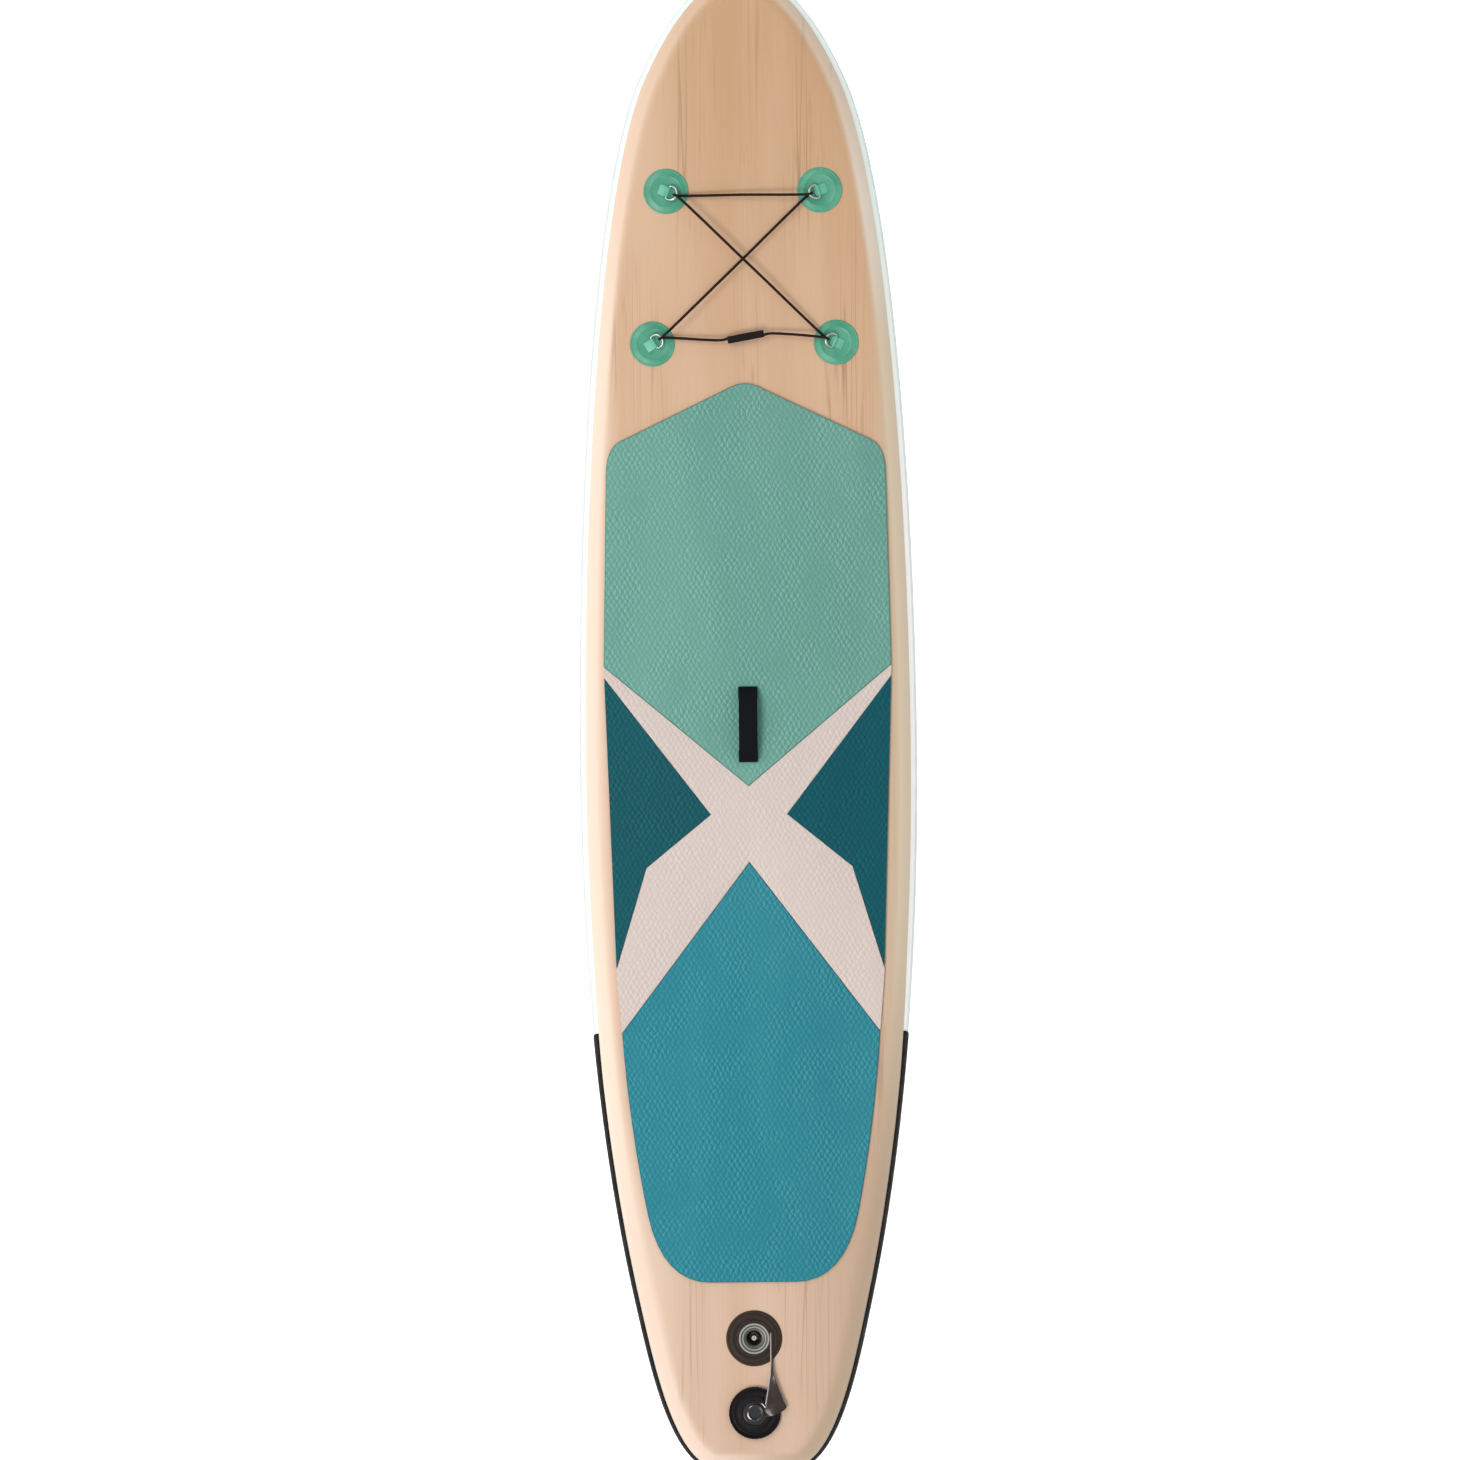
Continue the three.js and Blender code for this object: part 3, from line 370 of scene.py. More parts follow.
def moulded_look(name, color, roughness, light, coat=0.0, specular=0.3):
    """Moulded plastic or rubber with a fine grain and a little wear."""
    look = Look(name, color, roughness, coat=coat, specular=specular)
    wear = look.noise(60.0, 4.0, 0.65)
    rough = look.ramp(wear, 0.3, 0.7, max(0.05, roughness - 0.06), roughness + 0.08)
    grain = look.bump(look.noise(520.0, 3.0, 0.6), 0.00005, 0.5)
    return look.finish(look.tint(wear, 0.5, 0.8, 0.35, color, light), rough, grain)


def turned_look(name, color, bands, roughness=0.4):
    """Moulded plastic with bands of colour by radius round the valve's axis. A band is (radius, half width,
    colour).
    """
    look = Look(name, color, roughness, coat=0.1, coat_roughness=0.15, specular=0.3)
    centred = look.node("ShaderNodeMapping", {"Vector": look.coords(), "Location": (0.0, -VALVE_Y, 0.0)})
    flat = look.node("ShaderNodeVectorMath", {0: centred, 1: (1.0, 1.0, 0.0)}, operation="MULTIPLY")
    radius = look.node("ShaderNodeVectorMath", {0: flat}, output=1, operation="LENGTH")
    tone = color
    for at, half, band in bands:
        tone = look.mix(look.line(radius, at * MM, half * MM), tone, band)
    wear = look.noise(70.0, 4.0, 0.65)
    rough = look.ramp(wear, 0.3, 0.7, roughness - 0.08, roughness + 0.1)
    return look.finish(look.tint(wear, 0.5, 0.8, 0.2, tone, shade(color, 0.6)), rough)


def patch_look(name, low, high):
    look = Look(name, low, 0.4, coat=0.12, coat_roughness=0.25)
    tone = look.tint(look.noise(28.0, 3.0), 0.35, 0.7, 0.6, low, high)
    return look.finish(tone, normal=cloth_bump(look, 0.0014, 0.00005))


def metal_look(name, color, roughness):
    look = Look(name, color, roughness, metallic=1.0)
    brushed = look.noise((400.0, 400.0, 900.0), 3.0)
    tone = look.tint(look.noise(50.0, 3.0), 0.5, 0.8, 0.35, color, shade(color, 0.6))
    rough = look.ramp(brushed, 0.3, 0.7, roughness * 0.7, roughness * 1.4)
    return look.finish(tone, rough, look.bump(brushed, 0.00002, 0.4))


def cloth_look(name, color, pitch):
    look = Look(name, color, 0.8)
    tone = look.tint(look.noise(9.0, 3.0), 0.4, 0.7, 0.3, color, shade(color, 0.8))
    return look.finish(tone, normal=cloth_bump(look, pitch, 0.0002))


# --- Mesh helpers ---


def turns(count):
    """Angles at even steps once round."""
    return [2 * pi * k / count for k in range(count)]


def stepped(low, high, count):
    """Values from low to high in a number of even steps."""
    return [low + (high - low) * k / count for k in range(count + 1)]


def polar(radius, angle, height=0.0):
    return Vector((radius * cos(angle), radius * sin(angle), height))


def weld(bm):
    bmesh.ops.remove_doubles(bm, verts=bm.verts, dist=WELD)


def finish_mesh(name, bm, material, body=None, angle=35, slot=None, second=None):
    """Turns a bmesh into a smooth piece with sharp edges kept, and puts it on a body."""
    weld(bm)
    bmesh.ops.recalc_face_normals(bm, faces=bm.faces)
    mesh = bpy.data.meshes.new(name)
    bm.to_mesh(mesh)
    bm.free()
    mesh.shade_smooth()
    mesh.set_sharp_from_angle(angle=radians(angle))
    mesh.materials.append(material)
    if second:
        mesh.materials.append(second)
    piece = bpy.data.objects.new(name, mesh)
    bpy.context.scene.collection.objects.link(piece)
    if body:
        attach(piece, body)
    return piece


def stand_in(node, bm, material, body=None, **made):
    """A finished piece that takes the place of the CAD node that it is named after."""
    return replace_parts(finish_mesh(f"{node}_look", bm, material, body, **made), node)


def grid(bm, rows, wrap=False, ring=False, uv_step=None):
    """Faces between rows of points. The rows can wrap round, and each row can be a closed ring."""
    verts = [[bm.verts.new(p) for p in row] for row in rows]
    layer = bm.loops.layers.uv.verify() if uv_step else None
    n, m = len(rows), len(rows[0])
    for i in range(n if wrap else n - 1):
        for j in range(m if ring else m - 1):
            i2, j2 = (i + 1) % n, (j + 1) % m
            corners = [verts[i][j], verts[i2][j], verts[i2][j2], verts[i][j2]]
            if len({tuple(round(c, 7) for c in v.co) for v in corners}) < 3:
                continue
            face = bm.faces.new(corners)
            if layer:
                spots = [(i, j), (i + 1, j), (i + 1, j + 1), (i, j + 1)]
                for loop, (a, b) in zip(face.loops, spots):
                    loop[layer].uv = (a * uv_step, b / m)
    return verts


def cap_ends(bm, verts):
    bm.faces.new(verts[0])
    bm.faces.new(verts[-1])


def sharp_edges(bm, angle):
    return [e for e in bm.edges if len(e.link_faces) == 2 and e.calc_face_angle(0) > radians(angle)]


def round_edges(bm, width, segments=2, angle=32, index=-1):
    """Bevels every edge sharper than an angle, and can give the new faces another material."""
    shape = {"segments": segments, "profile": 0.5, "affect": "EDGES", "clamp_overlap": True}
    bmesh.ops.bevel(bm, geom=sharp_edges(bm, angle), offset=width, material=index, **shape)


def node_mesh(node):
    """A CAD node's shape with its flat faces made whole."""
    bm = bmesh.new()
    bm.from_mesh(NODES[node].data)
    weld(bm)
    bmesh.ops.dissolve_limit(bm, angle_limit=radians(0.8), verts=bm.verts, edges=bm.edges)
    return bm


def refine(node, material, body, bevel, segments=2, slot=None, angle=32, rim=None, spread=0.0):
    """A CAD node's shape with its edges rounded and its sides spread. Both widths are in millimetres."""
    bm = node_mesh(node)
    if spread:
        spread_sides(bm, spread * MM)
    for face in bm.faces:
        face.material_index = 1 if rim and abs(face.normal.z) < 0.5 else 0
    round_edges(bm, bevel * MM, segments, angle, 1 if rim else -1)
    return stand_in(node, bm, material, body, slot=slot, second=rim)


def swell(node, material, body, slot):
    """A moulded fin: a CAD node's shape with its curves made smooth and its edges kept."""
    bm = node_mesh(node)
    crease = bm.edges.layers.float.new("crease_edge")
    for edge in sharp_edges(bm, 34):
        edge[crease] = 0.9
    piece = stand_in(node, bm, material, body, slot=slot)
    piece.modifiers.new("smooth_curves", "SUBSURF").levels = 2


def spread_sides(bm, width):
    """Moves the upright sides of a flat panel outwards."""
    bm.normal_update()
    moves = []
    for vert in bm.verts:
        ways = [f.normal for f in vert.link_faces if abs(f.normal.z) < 0.5]
        total = sum((Vector((n.x, n.y, 0)).normalized() for n in ways), Vector())
        if total.length > 0.5:
            half = total.length / len(ways)
            moves.append((vert, total.normalized() * min(width / half, 3 * width)))
    for vert, move in moves:
        vert.co += move


def turned_rows(profile, segments):
    """A profile in millimetres, turned about Z."""
    return [[polar(r, a, z) * MM for r, z in profile] for a in turns(segments)]


def lathe(node, profile, material, body, place, segments=96, bevel=0.25, closed=True, slot=None):
    """A turned piece for a node. Its bevel is in millimetres, and place moves it into the row frame."""
    bm = bmesh.new()
    grid(bm, turned_rows(profile, segments), wrap=True, ring=closed)
    weld(bm)
    if bevel:
        bmesh.ops.recalc_face_normals(bm, faces=bm.faces)
        round_edges(bm, bevel * MM, 2, 28)
    bm.transform(place)
    return stand_in(node, bm, material, body, slot=slot)


def pull(a, b, c, d, share):
    """A point at a share of the way from b to c on a centripetal Catmull-Rom curve."""
    knots = [0.0]
    for p, q in ((a, b), (b, c), (c, d)):
        knots.append(knots[-1] + max((q - p).length, 1e-9) ** 0.5)
    t = knots[1] + (knots[2] - knots[1]) * share

    def between(p, q, i, j):
        return p.lerp(q, (t - knots[i]) / (knots[j] - knots[i]))

    ab, bc, cd = between(a, b, 0, 1), between(b, c, 1, 2), between(c, d, 2, 3)
    return between(between(ab, bc, 0, 2), between(bc, cd, 1, 3), 1, 2)


def catmull(points, steps):
    """Points at equal shares of the curve's own parameter."""
    spans = len(points) - 1
    pts = [Vector(p) for p in points]
    pts = [2 * pts[0] - pts[1], *pts, 2 * pts[-1] - pts[-2]]
    out = []
    for i in range(steps + 1):
        at = min(i / steps * spans, spans - 1e-9)
        out.append(pull(*pts[int(at) : int(at) + 4], at - int(at)))
    return out


def smooth_line(points, steps):
    """The same curve, with its points evenly spaced by length."""
    return even(catmull(points, 24 * (len(points) - 1)), steps)


def even(points, steps, closed=False):
    """The same line with evenly spaced points."""
    line = [*points, points[0]] if closed else list(points)
    lengths = [0.0]
    for p, q in zip(line, line[1:]):
        lengths.append(lengths[-1] + (q - p).length)
    out, k = [], 0
    for i in range(steps if closed else steps + 1):
        want = lengths[-1] * i / steps
        while k < len(lengths) - 2 and lengths[k + 1] < want:
            k += 1
        share = (want - lengths[k]) / max(lengths[k + 1] - lengths[k], 1e-12)
        out.append(line[k].lerp(line[k + 1], min(max(share, 0.0), 1.0)))
    return out


def tube_rows(line, radius, sides, closed=False, across=Vector((0, 0, 1))):
    rows = []
    n = len(line)
    for i, at in enumerate(line):
        before = line[i - 1] if (closed or i) else line[0]
        after = line[(i + 1) % n] if closed else line[min(i + 1, n - 1)]
        along = (after - before).normalized()
        across = (across - along * across.dot(along)).normalized()
        other = along.cross(across)
        rows.append([at + radius * (across * cos(a) + other * sin(a)) for a in turns(sides)])
    return rows


def rod(bm, line, radius, sides):
    """A round bar along a line, with closed ends."""
    cap_ends(bm, grid(bm, tube_rows(line, radius, sides), ring=True))


# --- Hull ---

LENGTH, WIDTH, THICKNESS = 3.350, 0.760, 0.150
BULGE = 0.060  # how far in from the outline the rail's curve begins
NOSE_LIFT, ROCKER_START = 0.110, 0.420
DECK = THICKNESS
HULL_EDGE = 46  # degrees round the rail where the bottom skin ends
RAIL_GAP = 0.5  # degrees between a skin's edge and the rail band's
LIP_TURN, LIP_DEPTH = 0.1, 0.0016  # each layer's edge turns in, by degrees along and metres deep
HOLE_RADIUS = 0.0246
GUARD_FRONT, GUARD_TIP, GUARD_LOW = -0.690, 0.070, -32  # its front, its sweep and its lower edge's degrees


def rocker(y):
    return NOSE_LIFT * (max(0.0, y - ROCKER_START) / (LENGTH / 2 - ROCKER_START)) ** 2


def deck_edge(y):
    """Degrees round the rail where the deck skin ends."""
    t = min(max((-y - 0.45) / 0.40, 0.0), 1.0)
    return 44 - 8 * t * t * (3 - 2 * t)


def bezier(a, b, c, d, n):
    out = []
    for k in range(n):
        t = k / n
        s = 1 - t
        at = a * s**3 + b * (3 * s * s * t) + c * (3 * s * t * t) + d * t**3
        along = (b - a) * (s * s) + (c - b) * (2 * s * t) + (d - c) * (t * t)
        out.append((at, along.normalized()))
    return out


def half_outline():
    """(point, outward) pairs from the nose tip round the right side to the middle of the tail."""
    half, wide = LENGTH / 2, WIDTH / 2
    curves = [
        ((0, half), (0.112, half), (0.194, 1.523), (0.233, 1.436), 36),
        ((0.233, 1.436), (0.346, 1.178), (wide, 0.424), (wide, -0.06), 60),
        ((wide, -0.06), (wide, -0.571), (0.334, -0.979), (0.267, -1.288), 48),
        ((0.267, -1.288), (0.233, -1.444), (0.188, -half), (0.081, -half), 44),
    ]
    out = []
    for a, b, c, d, n in curves:
        out += bezier(Vector(a), Vector(b), Vector(c), Vector(d), n)
    out += [(Vector((0.081 * (1 - k / 4), -half)), Vector((-1.0, 0.0))) for k in range(5)]
    return [(at, Vector((-along.y, along.x))) for at, along in out]


OUTLINE = half_outline()


def hull_point(station, degrees, offset=0.0, side=1):
    at, out = station
    angle = radians(degrees)
    reach = (BULGE + offset) * cos(angle) - BULGE
    x, y = at.x + out.x * reach, at.y + out.y * reach
    z = THICKNESS / 2 + (THICKNESS / 2 + offset) * sin(angle)
    return Vector((side * max(x, 0.0), y, z + rocker(y)))


def perimeter():
    """Every station once round the board, each with its side."""
    right = [(s, 1) for s in OUTLINE]
    left = [(s, -1) for s in OUTLINE[1:-1]]
    return right + left[::-1]


def skin_piece(node, material, up, slot, hole=None):
    """The deck or bottom skin: it rounds the rail and is flat in the middle."""
    bm = bmesh.new()
    rows = []
    for station, side in perimeter():
        edge = deck_edge(station[0].y) if up > 0 else HULL_EDGE
        lip = [hull_point(station, up * (edge + LIP_TURN), -LIP_DEPTH, side)]
        rows.append(lip + [hull_point(station, up * a, 0.0, side) for a in stepped(edge, 90, 12)])
    grid(bm, rows, wrap=True)
    flat = [hull_point(s, up * 90) for s in OUTLINE]
    middle = [(p, Vector((-p.x, p.y, p.z))) for p in flat]
    around = []
    for (a, b), (c, d) in zip(middle, middle[1:]):
        if hole and c.y < hole.y + 0.06 and a.y > hole.y - 0.06:
            around += [c] if around else [a, c]
            continue
        bm.faces.new([bm.verts.new(p) for p in (a, c, d, b)])
    if hole:
        outer = around + [Vector((-p.x, p.y, p.z)) for p in around[::-1]]
        inner = [hole + polar(HOLE_RADIUS, a) for a in turns(64)]
        verts = [bm.verts.new(p) for p in outer + inner]
        for triangle in tessellate_polygon([outer, inner]):
            bm.faces.new([verts[k] for k in triangle])
    stand_in(node, bm, material, "board", angle=50, slot=slot)


def rail_piece(node, material, side):
    bm = bmesh.new()
    low = RAIL_GAP - HULL_EDGE
    rows = []
    for station in OUTLINE:
        high = deck_edge(station[0].y) - RAIL_GAP
        line = [hull_point(station, low + LIP_TURN, -LIP_DEPTH, side)]
        line += [hull_point(station, a, 0.0, side) for a in stepped(low, high, 26)]
        rows.append(line + [hull_point(station, high - LIP_TURN, -LIP_DEPTH, side)])
    grid(bm, rows)
    stand_in(node, bm, material, "board", angle=50, slot="rail_pvc")


def station_at(y):
    """The outline's station at a place along the rear half of the board."""
    pairs = zip(OUTLINE, OUTLINE[1:])
    (a, out_a), (b, out_b) = next(p for p in pairs if p[0][0].y >= y >= p[1][0].y)
    share = (a.y - y) / max(a.y - b.y, 1e-9)
    return a.lerp(b, share), out_a.lerp(out_b, share).normalized()


def guard_piece(material):
    """The black strip round the tail, with rounded edges and front ends that sweep up to the deck."""
    bm = bmesh.new()
    tips = [station_at(GUARD_FRONT - GUARD_TIP * (k / 16) ** 2) for k in range(1, 17)]
    rear = tips + [s for s in OUTLINE if s[0].y < GUARD_FRONT - GUARD_TIP - 0.001]
    rows = []
    for station, side in [(s, 1) for s in rear] + [(s, -1) for s in rear[:-1]][::-1]:
        y = station[0].y
        high = deck_edge(y) - RAIL_GAP
        ahead = 1 - min((GUARD_FRONT - y) / GUARD_TIP, 1.0)
        low = high + (GUARD_LOW - high) * sqrt(max(1 - ahead * ahead, 0.0))
        soft = min(0.3, (high - low) / 8)
        line = [hull_point(station, low, 0.0003, side), hull_point(station, low + soft, 0.0012, side)]
        line += [hull_point(station, a, 0.0015, side) for a in stepped(low, high, 18)[1:-1]]
        line += [hull_point(station, high - soft, 0.0012, side), hull_point(station, high, 0.0003, side)]
        rows.append(line)
    cap_ends(bm, grid(bm, rows))
    stand_in("tail_rail_guard", bm, material, "board", angle=60, slot="black_pvc")


def make_hull():
    skin_piece("deck_skin", deck_look(), 1, "deck_print", Vector((0, VALVE_Y, DECK)))
    skin_piece("hull_skin", bottom_look(), -1, "white_pvc")
    rails = rail_look()
    rail_piece("left_rail_band", rails, -1)
    rail_piece("right_rail_band", rails, 1)
    guard_piece(guard_look())
    woven = cloth_look("woven_base", seen(232, 229, 218), 0.0016)
    for node in ("top_drop_stitch_sheet", "bottom_drop_stitch_sheet", "left_side_wall", "right_side_wall"):
        paint(node, woven)
    paint("drop_stitch_yarn_rows", cloth_look("drop_stitch_yarn", seen(240, 238, 230), 0.0024))


def paint(node, material):
    data = NODES[node].data
    data.materials.clear()
    data.materials.append(material)


# --- Deck pad and handle ---


def make_pad():
    panels = {  # its slot, then its foam's base, light and dark tones, then its rim's tone
        "pad_front_panel": ("eva_mint", (106, 160, 147), (142, 192, 178), (80, 138, 126), (88, 142, 132)),
        "pad_left_panel": ("eva_teal", (24, 88, 97), (42, 108, 114), (10, 70, 80), (20, 78, 86)),
        "pad_right_panel": ("eva_teal", (12, 81, 92), (28, 100, 110), (4, 64, 76), (12, 72, 80)),
        "pad_cross_panel": ("eva_sand", (213, 199, 192), (230, 217, 209), (198, 184, 177), (226, 213, 205)),
        "pad_rear_panel": ("eva_blue", (46, 131, 146), (80, 164, 174), (26, 108, 128), (38, 112, 124)),
    }
    for node, (slot, *tones) in panels.items():
        base, light, dark, edge = (seen(*tone) for tone in tones)
        foam = foam_look(f"foam_{node}", base, light, dark)
        rim = rim_look(f"rim_{node}", edge)
        piece = refine(node, foam, "board", 1.6, 3, slot, 40, rim, 1.15)


def handle_line():
    """The middle of the webbing: a flat foot at each end and a bow between them."""
    foot = DECK + 0.0026
    half = [(0.060, 0), (0.072, 0), (0.079, 0.0016), (0.0812, 0.006), (0.078, 0.0125)]
    half += [(0.066, 0.020), (0.045, 0.0265), (0.020, 0.0298)]
    rear = [Vector((0, -y, foot + rise)) for y, rise in half]
    front = [Vector((0, y, foot + rise)) for y, rise in half[::-1]]
    return smooth_line([*rear, Vector((0, 0, foot + 0.0303)), *front], 160)


def strap_piece(name, line, width, thick, material):
    """Flat webbing along a line, with straight rounded edges."""
    bm = bmesh.new()
    corner = thick / 2
    section = []
    for side in (1, -1):
        for k in range(9):
            angle = radians(180 - 90 * side - 22.5 * k)
            section.append((side * (width / 2 - corner) + corner * cos(angle), corner * sin(angle)))
        section += [(side * -share * width, side * -corner) for share in (-0.3, -0.1, 0.1, 0.3)]
    rows = []
    for i, at in enumerate(line):
        along = (line[min(i + 1, len(line) - 1)] - line[max(i - 1, 0)]).normalized()
        up = Vector((0, -along.z, along.y))
        rows.append([at + Vector((across, 0, 0)) + up * rise for across, rise in section])
    cap_ends(bm, grid(bm, rows, ring=True))
    return finish_mesh(name, bm, material, angle=60, slot="black_webbing")


def stitch_piece():
    """Two sewn boxes with a cross, one at each foot of the handle."""
    bm = bmesh.new()
    half, low, high, top = 0.0165, 0.0600, 0.0715, DECK + 0.0040
    box = [(-half, low), (half, low), (half, high), (-half, high)]
    seams = [(box[k], box[(k + 1) % 4]) for k in range(4)] + [(box[0], box[2]), (box[1], box[3])]
    for end in (1, -1):
        for (x1, y1), (x2, y2) in seams:
            count = max(3, round(hypot(x2 - x1, y2 - y1) / 0.0035))
            a, b = Vector((x1, end * y1, top)), Vector((x2, end * y2, top))
            for k in range(count):
                ends = [a.lerp(b, (k + share) / count) for share in (0.12, 0.5, 0.88)]
                ends[1].z += 0.0004
                rod(bm, ends, 0.0004, 6)
    thread = moulded_look("handle_thread", seen(30, 33, 37), 0.7, seen(52, 55, 60))
    finish_mesh("handle_stitches", bm, thread, "board", slot="black_webbing")


def make_handle():
    webbing = webbing_look("handle_webbing", seen(12, 15, 19), seen(30, 34, 39))
    line = handle_line()
    middle = len(line) // 2
    for name, part, end in (("rear", line[: middle + 1], -1), ("front", line[middle:], 1)):
        half = strap_piece(f"carry_handle_{name}_half", part, 0.0415, 0.0024, webbing)
        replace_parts(half, "carry_handle")
        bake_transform(half)
    stitch_piece()
    vinyl = moulded_look("anchor_vinyl", seen(30, 33, 35), 0.5, seen(58, 62, 64))
    for end in ("front", "rear"):
        refine(f"handle_{end}_anchor", vinyl, "board", 0.2, slot="black_pvc")


# --- Ring patches and bungee ---

ANCHORS = {  # x, y and heading in degrees
    "front_left": (-0.171, 1.187, -22),
    "front_right": (0.171, 1.187, 201),
    "rear_left": (-0.205, 0.850, 33),
    "rear_right": (0.205, 0.850, 156),
}
BAR, BAR_UP, TILT = 0.004, 0.0065, radians(22)  # where a ring's bar is, and how far the ring leans up
SIDE, DEPTH = 0.015, 0.022  # half its width, and from its bar to its tip
RING_TIP = Vector((BAR + DEPTH * cos(TILT), 0, BAR_UP + DEPTH * sin(TILT)))


def anchor_place(name):
    """The matrix from an anchor's own frame to the row frame."""
    x, y, heading = ANCHORS[name]
    slope = 2 * NOSE_LIFT * (y - ROCKER_START) / (LENGTH / 2 - ROCKER_START) ** 2
    turn = Matrix.Rotation(atan(slope), 4, "X") @ Matrix.Rotation(radians(heading), 4, "Z")
    return Matrix.Translation((x, y, DECK + rocker(y) + 0.0008)) @ turn


def ring_line():
    """The wire of a D ring: its bar, a rounded corner at each end of it, and a half round bow."""
    drops = ((0, 0.004), (0.0004, 0.0028), (0.0012, 0.0012), (0.0026, 0.0003), (0.004, 0))
    corner = [(out, SIDE - drop) for out, drop in drops]
    start, *other = [(out, -side) for out, side in corner]
    bow = [polar(SIDE, radians(90 - 7.5 * k)).xy + Vector((DEPTH - SIDE, 0)) for k in range(25)]
    slant = Vector((cos(TILT), 0, sin(TILT)))
    flat = [start, *corner, *bow, *other[::-1]]
    points = [Vector((BAR, 0, BAR_UP)) + slant * out + Vector((0, side, 0)) for out, side in flat]
    return even(points, 110, closed=True)


def tab_piece(node, place, material):
    """The moulded tab: a low foot and a rounded knuckle round the ring's bar."""
    hole, bump, width = 0.0026, 0.0039, 0.023

    def round_bar(radius, angles):
        return [Vector((BAR + radius * cos(a), 0, BAR_UP + radius * sin(a))) for a in map(radians, angles)]

    back, front, low, high = -0.017, 0.012, 0.0025, 0.0036
    foot = [Vector((u, 0, w)) for u, w in ((back, high), (back, low), (front, low), (front, high))]
    outer, inner = foot + round_bar(bump, range(-20, 201, 10)), round_bar(hole, range(0, 360, 15))
    triangles = tessellate_polygon([outer, inner])
    bm = bmesh.new()
    sheets = []
    for v in (-width / 2, width / 2):
        verts = [bm.verts.new(p + Vector((0, v, 0))) for p in outer + inner]
        for triangle in triangles:
            bm.faces.new([verts[k] for k in triangle])
        sheets.append(verts)
    for first, count in ((0, len(outer)), (len(outer), len(inner))):
        for k in range(count):
            a, b = first + k, first + (k + 1) % count
            bm.faces.new([sheets[0][a], sheets[0][b], sheets[1][b], sheets[1][a]])
    bmesh.ops.recalc_face_normals(bm, faces=bm.faces)
    bmesh.ops.dissolve_limit(bm, angle_limit=radians(1), verts=bm.verts, edges=bm.edges)
    round_edges(bm, 0.35 * MM, 2, 40)
    bm.transform(place)
    stand_in(node, bm, material, "board", slot="mint_pvc")


PATCH_PROFILE = [
    (0, 0), (49.4, 0), (50, 0.5), (49.6, 1.0), (48, 1.8), (46, 1.9), (45.4, 1.6), (44.8, 1.9), (38, 2.0),
    (36.8, 2.6), (36.0, 3.1), (35, 3.3), (34, 3.1), (33.2, 2.6), (32, 2.2), (0, 2.2),
]


def make_anchors():
    mint = patch_look("patch_pvc", seen(66, 153, 122), seen(98, 174, 144))
    bright = patch_look("tab_pvc", seen(84, 176, 146), seen(122, 200, 172))
    steel = metal_look("ring_steel", (0.46, 0.47, 0.46), 0.3)
    shape = {"closed": False, "bevel": 0, "slot": "mint_pvc"}
    for name in ANCHORS:
        place = anchor_place(name)
        lathe(f"{name}_patch", PATCH_PROFILE, mint, "board", place, **shape)
        tab_piece(f"{name}_ring_tab", place, bright)
        bm = bmesh.new()
        line = [place @ p for p in ring_line()]
        normal = place.to_3x3() @ Vector((-sin(TILT), 0, cos(TILT)))
        grid(bm, tube_rows(line, 0.0022, 16, closed=True, across=normal), wrap=True, ring=True)
        stand_in(f"{name}_d_ring", bm, steel, f"{name}_ring", angle=60, slot="ring_steel")


JOINER_AT, JOINER_TURN = Vector((0.003, 0.863, DECK + rocker(0.863) + 0.015)), radians(10)
JOINER_HALF = 0.041
JOINER_PLACE = Matrix.Translation(JOINER_AT) @ Matrix.Rotation(JOINER_TURN, 4, "Z")
BUNGEE_ORDER = ("rear_right", "front_left", "front_right", "rear_left")


def hook_points(name):
    place = anchor_place(name)
    angles = [radians(a) for a in range(90, 271, 30)]
    return [place @ (RING_TIP + 0.0058 * Vector((cos(a), 0, sin(a)))) for a in angles]


def bungee_route():
    """The cord's points, and the index where each corner piece after the first begins."""
    lane, end = 0.0032, JOINER_HALF
    hooks = [hook_points(name) for name in BUNGEE_ORDER]
    joiner = [(-end, -lane, 0), (end, -lane, 0), (end + 0.014, -lane + 0.0005, 0)]
    back = [(-end - 0.014, lane - 0.0005, 0), (-end, lane, 0), (end, lane, 0)]
    route = [*(JOINER_PLACE @ Vector(p) for p in joiner), *hooks[0]]
    cuts = []
    for a, b, rise in zip(hooks, hooks[1:], (0.0033, 0, -0.0033)):
        cuts.append(len(route))
        route += [a[-1].lerp(b[0], 0.5) + Vector((0, 0, rise)), *b]
    return route + [JOINER_PLACE @ Vector(p) for p in back], cuts


def make_bungee():
    """Four pieces that meet between the rings, one round each ring. Gives the cord's length."""
    braid = braid_look()
    route, cuts = bungee_route()
    line = smooth_line(route, 1400)
    marks = [min(range(len(line)), key=lambda k, at=route[cut]: (line[k] - at).length) for cut in cuts]
    marks = [0, *marks, len(line) - 1]
    length = sum((q - p).length for p, q in zip(line, line[1:]))
    rows = tube_rows(line, 0.003, 12)
    uv_step = length / (len(line) - 1) / 0.0046
    for a, b, name in zip(marks, marks[1:], BUNGEE_ORDER):
        bm = bmesh.new()
        cap_ends(bm, grid(bm, rows[a : b + 1], ring=True, uv_step=uv_step))
        piece = finish_mesh(f"bungee_{name}", bm, braid, angle=60, slot="bungee")
        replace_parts(piece, "bungee_cord")
        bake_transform(piece)
    joiner_piece()
    return length


def squared(value, power):
    """Pushes a sine or cosine outwards, so that a round section comes out squarer."""
    return copysign(abs(value) ** power, value)


